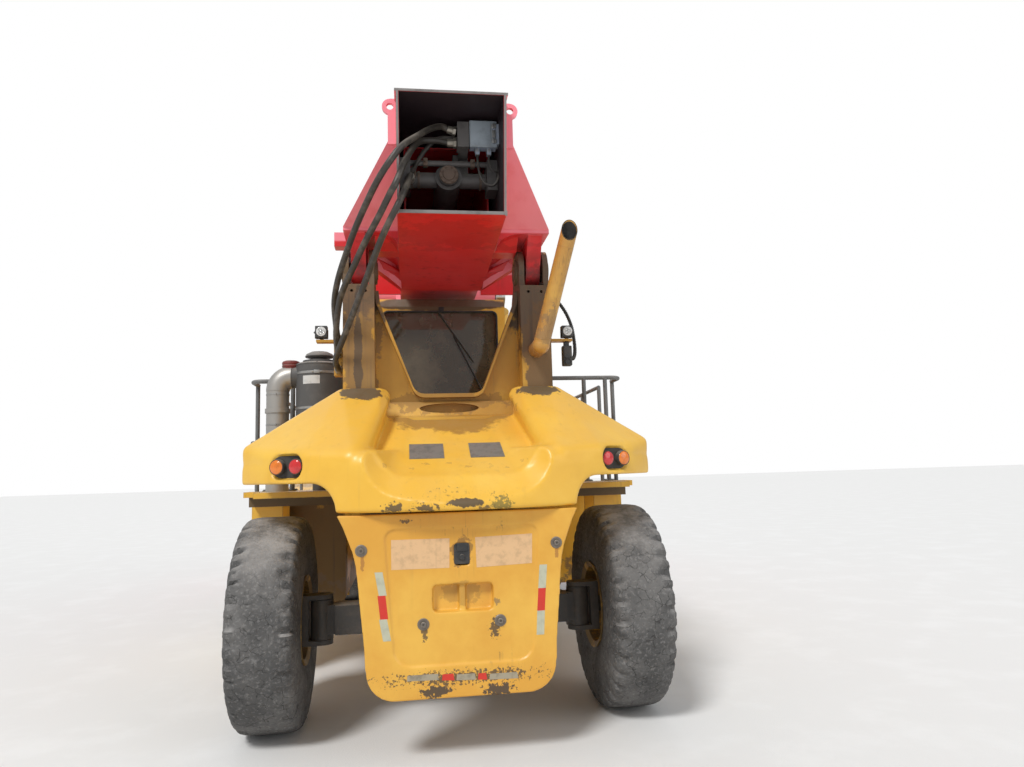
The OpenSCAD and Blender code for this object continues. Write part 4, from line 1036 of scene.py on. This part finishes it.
def side_sensor(worn, rubber):
    """The small housing under the right lamp's bracket, fed by a ribbed conduit from the tower."""
    bm = bmesh.new()
    slab(bm, (1.022, 0.082, 2.985), (1.066, 0.126, 3.0305), 0.003)
    slab(bm, (1.004, 0.062, 2.815), (1.086, 0.140, 2.992), 0.012)
    slab(bm, (1.012, 0.056, 2.880), (1.078, 0.066, 2.980), 0.004)
    lathe(bm, [(0.030, 0), (0.030, 0.010), (0.026, 0.013), (0.024, 0.006), (0, 0.005)],
          along(spot(1.045, 0.063, 2.848), REARWARD), 28)
    for x in (1.018, 1.072):
        for z in (2.972, 2.888):
            bolt(bm, spot(x, 0.056, z), REARWARD, 0.0045, 0.006, 0.006)
    piece("side_sensor", bm, worn, "carrier")
    bm = bmesh.new()
    line = curve_points(spots(
        (0.850, 0.30, 3.500), (0.905, 0.27, 3.500), (0.985, 0.22, 3.440), (1.060, 0.18, 3.320),
        (1.110, 0.16, 3.180), (1.128, 0.15, 3.040), (1.125, 0.13, 2.940), (1.105, 0.11, 2.885),
        (1.078, 0.10, 2.880)), 16)
    pipe(bm, line, 0.0135, 12)
    for a, b in zip(line[2:-2:2], line[3:-1:2]):
        lathe(bm, [(0.0130, -0.004), (0.0165, -0.002), (0.0165, 0.002), (0.0130, 0.004)], along(a, b - a), 12)
    lathe(bm, [(0.013, 0), (0.026, 0.001), (0.026, 0.016), (0.020, 0.020), (0.020, 0.040), (0.013, 0.044)],
          along(line[0], (1, 0, 0)), 20)
    piece("sensor_conduit", bm, rubber, "carrier", 50)


def work_lamp(sign, side, worn, glass, steel):
    """A square work lamp on its bracket, with ribs behind."""
    place = Matrix.Translation(spot(sign * 1.0475, 0.055, 3.115))
    bm = bmesh.new()
    block(bm, (-0.050, -0.012, -0.048), (0.050, 0.004, 0.050), place, 0.006)
    for k in range(6):
        x = -0.040 + k * 0.016
        block(bm, (x - 0.003, 0.066, -0.042), (x + 0.003, 0.0695, 0.044), place, 0.001)
    for x in (-0.054, 0.050):
        block(bm, (x, 0.018, -0.052), (x + 0.004, 0.046, 0.020), place, 0.0015)
    bolt(bm, place @ Vector((sign * 0.054, 0.032, 0.0)), (sign, 0, 0), 0.008, 0.010, 0.011)
    piece("work_lamp_body_" + side, bm, worn, "carrier")
    bm = bmesh.new()
    front = place @ along((0, -0.0118, 0.001), REARWARD)
    lathe(bm, [(0.040, 0), (0.040, 0.0025), (0.036, 0.004), (0.030, 0.0045), (0, 0.0062)], front, 40)
    piece("work_lamp_glass_" + side, bm, glass, "carrier", 60)
    bm = bmesh.new()
    for k in range(3):
        lathe(bm, [(0.008, 0.006), (0.012, 0.0075), (0.014, 0.0075), (0.013, 0.005)],
              front @ Matrix.Translation((0.016 * math.cos(2.1 * k), 0.016 * math.sin(2.1 * k), 0)), 16)
    piece("work_lamp_bulbs_" + side, bm, steel, "carrier")


def ring(place, radius, lift=lambda x, y: 0.0, steps=40):
    """Points round a place's own Z axis, closed. lift gives each point's height."""
    points = []
    for a in turns(steps) + [2 * math.pi]:
        x, y = radius * math.cos(a), radius * math.sin(a)
        points.append(place @ Vector((x, y, lift(x, y))))
    return points


def exhaust(finish):
    """Seams of the exhaust pipe, its rolled rim and the soot inside."""
    lean_out, lean_back, mouth_slant = (math.radians(angle) for angle in (14.07, 12.3, 54))
    turn = Matrix.Rotation(lean_out, 4, "Y") @ Matrix.Rotation(lean_back, 4, "X")
    place = Matrix.Translation(spot(0.722, -0.420, 2.910)) @ turn
    slope = math.tan(mouth_slant)
    bm = bmesh.new()
    weld(bm, ring(place, 0.0660, lambda x, y: 0.055 + 0.25 * x), 0.0035, 0.006)
    weld(bm, ring(place, 0.0655, lambda x, y: 0.800 + 0.10 * y), 0.0025, 0.006)
    weld(bm, [place @ Vector((0.020, -0.063, h)) for h in (0.07, 0.83)], 0.0028, 0.009)
    weld(bm, ring(along(spot(0.722, -0.372, 2.910), FORWARD), 0.0660), 0.0035, 0.006)
    piece("exhaust_seams", bm, finish, "carrier", 60)
    bm = bmesh.new()
    weld(bm, ring(place, 0.0632, lambda x, y: 0.939 + slope * y), 0.0032, 0.006)
    low, high = ([bm.verts.new(point) for point in ring(place, 0.0594, lift)[:-1]]
                 for lift in (lambda x, y: 0.24, lambda x, y: 0.933 + slope * y))
    stitch(bm, low, high)
    bm.faces.new(low)
    piece("exhaust_soot", bm, greasy_metal("soot", (0.02, 0.018, 0.016), 0.85, 0.0), "carrier")


def air_intake(metal):
    """Bands, cap, blank plate and rubber boot of the air cleaner."""
    band = dull_grey("band_steel", (0.42, 0.41, 0.39), 0.4, 0.7, 0.4)
    rubber = greasy_metal("boot_rubber", (0.20, 0.035, 0.03), 0.6, 0.5)
    middle = Matrix.Translation(spot(-1.140, 0.760, 0))
    bm = bmesh.new()
    for z in (2.52, 2.84):
        lathe(bm, [(0.2095, z), (0.2145, z + 0.002), (0.2145, z + 0.022), (0.2095, z + 0.024)], middle, 56)
        slab(bm, (-1.165, 0.538, z - 0.002), (-1.115, 0.552, z + 0.026), 0.003)
        pipe(bm, [spot(-1.185, 0.543, z + 0.012), spot(-1.095, 0.543, z + 0.012)], 0.005)
    pipe_axis = Matrix.Translation(spot(-1.510, 0.760, 0))
    for z in (2.30, 2.385, 2.66):
        lathe(bm, [(0.0995, z), (0.1035, z + 0.001), (0.1035, z + 0.013), (0.0995, z + 0.014)], pipe_axis, 44)
        bolt(bm, spot(-1.510, 0.657, z + 0.007), REARWARD, 0.006, 0.010, 0.008)
    piece("intake_bands", bm, band, "carrier")
    bm = bmesh.new()
    lathe(bm, [(0.058, 2.985), (0.060, 3.000), (0.104, 3.004), (0.128, 3.010), (0.131, 3.016), (0.118, 3.038),
               (0.080, 3.058), (0.030, 3.066), (0, 3.067)], middle, 48)
    for a in turns(6):
        block(bm, (-0.004, 0.200, 2.925), (0.004, 0.2125, 2.946), middle @ Matrix.Rotation(a, 4, "Z"), 0.001)
    lathe(bm, [(0.205, 2.925), (0.2135, 2.928), (0.2135, 2.936), (0.200, 2.948), (0.150, 2.956),
               (0.149, 2.950)], middle, 56)
    piece("intake_cap", bm, metal, "carrier")
    bm = bmesh.new()
    boot = Matrix.Translation(spot(-1.395, 0.760, 2.905))
    lathe(bm, [(0.070, -0.03), (0.074, 0.010), (0.080, 0.016), (0.080, 0.030), (0.075, 0.036), (0.080, 0.042),
               (0.080, 0.056), (0.074, 0.066), (0.056, 0.074), (0.0, 0.076)], boot, 40)
    piece("intake_boot", bm, rubber, "carrier")
    bm = bmesh.new()
    corners = spots((-1.265, 0, 2.745), (-1.115, 0, 2.745), (-1.115, 0, 2.82), (-1.265, 0, 2.82))
    skin_patch(bm, "air_cleaner", corners, FORWARD, (8, 2), 0.0012)
    piece("blank_plate", bm, film("blank_plate", (0.62, 0.62, 0.60), 0.5), "carrier")


def cab_trim():
    """Rubber seals of the cab's windows and door, the rear wiper and two knobs at the door's handle."""
    rubber = greasy_metal("seal_rubber", (0.025, 0.025, 0.025), 0.7, 0.4)
    bm = bmesh.new()
    rear = [spot(x, 1.236, z) for x, z in soft_loop(-0.577, 0.577, 2.408, 3.552, 0.055)]
    # The windscreen leans back as it rises
    front = [spot(x, 2.922 - (z - 2.44) * 0.190 / 1.18 + 0.034, z)
             for x, z in soft_loop(-0.572, 0.572, 2.488, 3.522, 0.055)]
    right = [spot(0.652, y, z) for y, z in ((1.37, 2.49), (2.47, 2.49), (2.63, 2.705), (2.592, 3.53),
                                            (1.37, 3.53))]
    left = [spot(-0.652, y, z) for y, z in soft_loop(1.358, 1.542, 2.488, 3.512, 0.045)]
    for seal, radius in ((rear, 0.011), (front, 0.011), (right, 0.009), (left, 0.009)):
        pipe(bm, seal, radius, 8, True)
    slab(bm, (-0.018, 1.228, 3.556), (0.040, 1.262, 3.600), 0.008)
    pipe(bm, spots((0.010, 1.226, 3.575), (-0.02, 1.222, 3.54), (0.33, 1.240, 3.03)), 0.0065)
    pipe(bm, [spot(0.13, 1.242, 3.30), spot(0.42, 1.246, 2.72)], 0.0075, 6)
    piece("cab_seals", bm, rubber, "carrier")

    bm = bmesh.new()
    pipe(bm, [spot(-0.650, y, z) for y, z in soft_loop(1.728, 2.532, 2.308, 3.492, 0.045)], 0.009, 8, True)
    for y, z in ((2.548, 2.225), (2.580, 2.325)):
        lathe(bm, [(0.010, 0), (0.014, 0.002), (0.014, 0.020), (0.009, 0.026), (0, 0.026)],
              along(spot(-0.698, y, z), (-1, 0, 0)), 14)
    piece("door_seal", bm, rubber, "cab_door")


def railing_feet():
    """A bolted foot plate below each post, where it stands on the deck."""
    steel = dull_grey("foot_steel", (0.20, 0.20, 0.195), 0.5, 0.3)
    posts = [(0.96, 1.05), (1.42, 1.05), (1.64, 1.05), (1.782, 1.355), (1.782, 1.90), (1.782, 2.70),
             (1.782, 3.50), (1.782, 4.40)]
    for sign, side in SIDES:
        bm = bmesh.new()
        for x, y in posts:
            x *= sign
            floor = 1.795 if y < 1.2 else 1.700
            top = floor + 0.008
            slab(bm, (x - 0.045, y - 0.045, floor), (x + 0.045, y + 0.045, top), 0.002)
            for dy in (-0.032, 0.032):
                for dx in (-0.032, 0.032):
                    bolt(bm, spot(x + dx, y + dy, top), (0, 0, 1), 0.008, 0.010, 0.011)
        piece("railing_feet_" + side, bm, steel, "carrier")


def both_sides(x, y, z, *rest):
    """The same patch on the left and on the right, for stains and for painted shade."""
    return [((sign * x, y, z), *rest) for sign, _ in SIDES]


def intake_metal():
    """Weathered black metal, and pale bare metal on the pipe left of the cleaner."""
    coat = Coat("intake_metal", (0.09, 0.088, 0.085), 0.55)
    coat.mottle(5.0, 0.45, 0.68, (0.15, 0.14, 0.13), 0.7, strength=0.7)
    across = wire(coat.tree, "SeparateXYZ", {0: own_space(coat.tree)}).outputs["X"]
    coat.lay(between(coat.tree, across, -1.384, -1.386), (0.42, 0.40, 0.37), 0.42, 0.6)
    coat.dusty(0.6, roughness=0.85)
    return coat.finish(bump=(140.0, 0.0008))


def dress_nodes():
    """Every node that shows gets its own finish.

    Patches are (middle, half size, raggedness, grain, colour, strength), and streaks are
    (middle, half size, density, colour, strength)."""
    weight = yellow_paint("weight_paint", patches=[
        ((0.04, -1.19, 1.715), (0.125, 0.1, 0.032), 0.35, 26.0, SOOT, 0.9),
        ((-0.45, -1.15, 1.695), (0.055, 0.12, 0.036), 1.1, 30.0, SOOT, 0.85),
        ((-0.23, -1.18, 1.69), (0.075, 0.12, 0.026), 1.3, 38.0, SOOT, 0.85),
        ((0.27, -1.17, 1.69), (0.06, 0.12, 0.055), 1.1, 34.0, (0.17, 0.14, 0.03), 0.8),
        ((0.16, -1.17, 1.665), (0.05, 0.12, 0.03), 1.1, 34.0, SOOT, 0.7),
        *both_sides(0.70, -0.34, 2.56, (0.18, 0.24, 0.08), 0.35, 11.0, SOOT, 0.9),
        ((0.05, -1.02, 1.985), (0.36, 0.10, 0.03), 1.2, 14.0, (0.34, 0.19, 0.05), 0.4),
        # Painted shade: the dish floor and the ledge behind it, in the boom's shadow
        ((0.0, -0.10, 2.42), (0.56, 0.60, 0.26), 0.22, 5.0, (0.33, 0.17, 0.03), 0.85)],
        streaks=[((0.02, -1.16, 1.72), (0.42, 0.12, 0.10), 55.0, SOOT, 0.8)],
        dust=0.08, runs=0.12, worn=0.12, old=0.15)
    plate = yellow_paint("plate_paint", patches=[
        ((-0.175, -1.05, 0.487), (0.095, 0.1, 0.042), 0.75, 34.0, SOOT, 0.92),
        ((0.235, -1.05, 0.473), (0.115, 0.1, 0.036), 0.8, 36.0, SOOT, 0.92),
        ((0.0, -1.05, 0.567), (0.40, 0.1, 0.036), 1.3, 60.0, SOOT, 0.85),
        ((-0.655, -1.05, 1.34), (0.014, 0.1, 0.07), 0.5, 30.0, RUST, 0.6),
        ((0.665, -1.05, 1.36), (0.014, 0.1, 0.05), 0.5, 30.0, RUST, 0.6),
        ((-0.25, -1.04, 0.865), (0.018, 0.1, 0.055), 0.9, 45.0, SOOT, 0.8),
        ((0.225, -1.04, 0.865), (0.032, 0.1, 0.060), 0.9, 45.0, SOOT, 0.85),
        ((0.24, -1.04, 1.045), (0.020, 0.1, 0.022), 0.9, 45.0, DIRT, 0.7),
        ((0.01, -1.04, 1.38), (0.075, 0.1, 0.10), 0.5, 16.0, (0.20, 0.10, 0.03), 0.7),
        ((0.0, -1.02, 1.10), (0.19, 0.1, 0.085), 0.4, 14.0, (0.42, 0.22, 0.04), 0.6),
        ((-0.37, -1.04, 1.60), (0.035, 0.1, 0.014), 1.0, 45.0, SOOT, 0.8)],
        streaks=[((0.02, -1.04, 1.56), (0.30, 0.1, 0.10), 60.0, (0.22, 0.11, 0.03), 0.9),
                 ((0.0, -1.05, 0.56), (0.55, 0.1, 0.14), 50.0, SOOT, 0.75),
                 ((0.38, -1.05, 0.60), (0.18, 0.1, 0.13), 46.0, SOOT, 0.8),
                 ((0.01, -1.04, 1.24), (0.10, 0.1, 0.12), 60.0, (0.22, 0.11, 0.03), 0.7)],
        dust=0.05, runs=0.10, worn=0.08, old=0.18, base=(0.70, 0.345, 0.040))
    tower = yellow_paint("tower_paint", patches=[
        ((-0.72, -0.2, 3.55), (0.24, 0.6, 0.50), 0.35, 5.0, (0.085, 0.058, 0.042), 0.88),
        ((0.72, -0.2, 3.50), (0.24, 0.6, 0.60), 0.35, 5.0, (0.085, 0.062, 0.048), 0.92),
        ((-0.72, -0.2, 2.8), (0.17, 0.5, 0.62), 0.7, 4.0, (0.19, 0.105, 0.045), 0.7),
        ((0.75, -0.2, 2.8), (0.15, 0.5, 0.62), 0.6, 4.0, (0.15, 0.085, 0.038), 0.9),
        ((-0.73, -0.2, 2.95), (0.035, 0.5, 0.65), 0.5, 5.0, SOOT, 0.7),
        # Painted shade on the ledge at the tower's foot
        ((0.0, -0.1, 2.5), (0.5, 0.5, 0.10), 0.6, 8.0, (0.33, 0.17, 0.035), 0.7)],
        streaks=[((-0.72, -0.2, 3.0), (0.3, 0.6, 0.7), 22.0, SOOT, 0.7),
                 ((0.72, -0.2, 3.0), (0.3, 0.6, 0.7), 22.0, SOOT, 0.8)],
        # The darker base yellow is painted shade on the tower's frame
        dust=0.12, runs=0.8, worn=0.35, base=(0.56, 0.29, 0.034))
    body = yellow_paint("body_paint")
    cab = yellow_paint("cab_paint", patches=[
        ((0.0, 1.25, 3.63), (0.80, 0.30, 0.085), 0.10, 8.0, (0.055, 0.042, 0.034), 0.92)], worn=0.3)
    under = yellow_paint("frame_paint", patches=[
        # Dirt and painted shade: the frame darkens under and behind the rear weight and low down at the front
        ((0.0, 0.4, 1.2), (2.2, 1.9, 0.62), 0.25, 3.0, (0.075, 0.052, 0.034), 0.85),
        ((0.0, 5.0, 0.9), (2.2, 2.6, 0.5), 0.4, 3.0, (0.10, 0.07, 0.045), 0.7)], dust=0.45, runs=0.9)
    tank = yellow_paint("tank_paint", patches=[
        # Painted shade on the tanks' rear faces under the wings
        *both_sides(1.4, 1.9, 1.05, (0.8, 0.25, 0.85), 0.25, 4.0, (0.085, 0.060, 0.040), 0.85),
        ((0.0, 3.2, 0.75), (2.2, 1.9, 0.22), 0.5, 4.0, DIRT, 0.8)], dust=0.5, runs=0.8)
    deck = yellow_paint("deck_paint", patches=[
        # Painted shade on the decks' rear edges
        *both_sides(1.68, 1.14, 1.72, (0.85, 0.10, 0.20), 0.2, 4.0, (0.070, 0.050, 0.034), 0.9),
        *both_sides(1.9, 3.6, 1.80, (0.7, 2.4, 0.03), 0.5, 2.5, (0.30, 0.22, 0.13), 0.7)], dust=0.7, worn=0.8)
    hub = yellow_paint("rim_paint", patches=[
        # Dirt and painted shade: the rims inside the tires are laid dark brown
        ((0.0, 0.0, 0.8), (1.60, 0.9, 0.9), 0.25, 6.0, (0.085, 0.062, 0.042), 0.8)], dust=0.4, runs=0.6)
    pipe_gold = yellow_paint("exhaust_paint", patches=[
        ((0.78, -0.45, 3.05), (0.10, 0.2, 0.16), 0.8, 14.0, DIRT, 0.5)],
        streaks=[((0.82, -0.50, 3.40), (0.3, 0.3, 0.6), 70.0, (0.20, 0.10, 0.04), 0.75),
                 ((0.82, -0.50, 3.30), (0.3, 0.3, 0.5), 28.0, (0.12, 0.07, 0.04), 0.6)],
        dust=0.05, runs=0.6, worn=0.2, base=(0.45, 0.215, 0.048))
    boom = boom_paint()
    spreader = red_paint("spreader_paint")
    dark = greasy_metal("dark_metal")
    glass = dark_glass()
    steel = bright_steel()
    finishes = {}
    for finish, names in (
            (weight, "counterweight_upper"), (plate, "counterweight_lower"), (tower, "boom_tower"),
            (pipe_gold, "exhaust_pipe"), (boom, "boom_base"), (under, "chassis"), (cab, "cab_shell"),
            (tank, "hydraulic_tank fuel_tank"), (deck, "deck_left deck_right"),
            (spreader, "boom_inner spreader_hanger rotator spreader_main"),
            (spreader, "spreader_arm_left spreader_arm_right"),
            (hub, "rear_rim_left rear_rim_right"),
            (dark, "rear_axle knuckle_left knuckle_right engine operator_station lamps"),
            (dull_grey("rail_grey", (0.16, 0.16, 0.155)), "railing_left railing_right"),
            (dull_grey("cylinder_grey", (0.13, 0.12, 0.115), 0.45), "telescope_cylinder"),
            (dull_grey("box_grey", (0.36, 0.41, 0.50), 0.4, dust=0.15), "control_box"),
            (intake_metal(), "air_cleaner"), (glass, "cab_glass door_glass"),
            (steel, "lift_rod_left lift_rod_right twistlock_1 twistlock_2 twistlock_3 twistlock_4")):
        finishes.update(dict.fromkeys(names.split(), finish))
    for name, node in nodes.items():
        finish = finishes.get(name, body)
        if node.material_slots:
            for slot in node.material_slots:
                slot.material = finish
        else:
            node.data.materials.append(finish)
    return finishes


photo_camera()
studio()
hoses()
tires()
wheel_nuts()

finishes = dress_nodes()
cast_weight("counterweight_upper", finishes["counterweight_upper"], 0.013, 10)
cast_weight("counterweight_lower", finishes["counterweight_lower"], 0.009, 5)
rear_weight()
rear_lamps()

lamp_black = greasy_metal("lamp_black", (0.05, 0.05, 0.05), 0.5, 0.4)
clear_lens = lens("clear_lens", (0.78, 0.78, 0.76))
lamp_chrome = dull_grey("lamp_chrome", (0.65, 0.65, 0.63), 0.2, 0.9, 0.1)
for sign, side in SIDES:
    work_lamp(sign, side, lamp_black, clear_lens, lamp_chrome)
side_sensor(lamp_black, greasy_metal("conduit_black", (0.035, 0.033, 0.031), 0.55, 0.3))

boom_rim()
boom_welds(finishes["boom_base"])
saddle_flares()
boom_lines(greasy_metal("line_rubber", (0.045, 0.040, 0.036), 0.5, 0.3))
shaft_fittings(greasy_metal("rusty_shaft", (0.17, 0.115, 0.085), 0.6, 0.6))
electric_box()
exhaust(finishes["exhaust_pipe"])
air_intake(finishes["air_cleaner"])
cab_trim()
railing_feet()
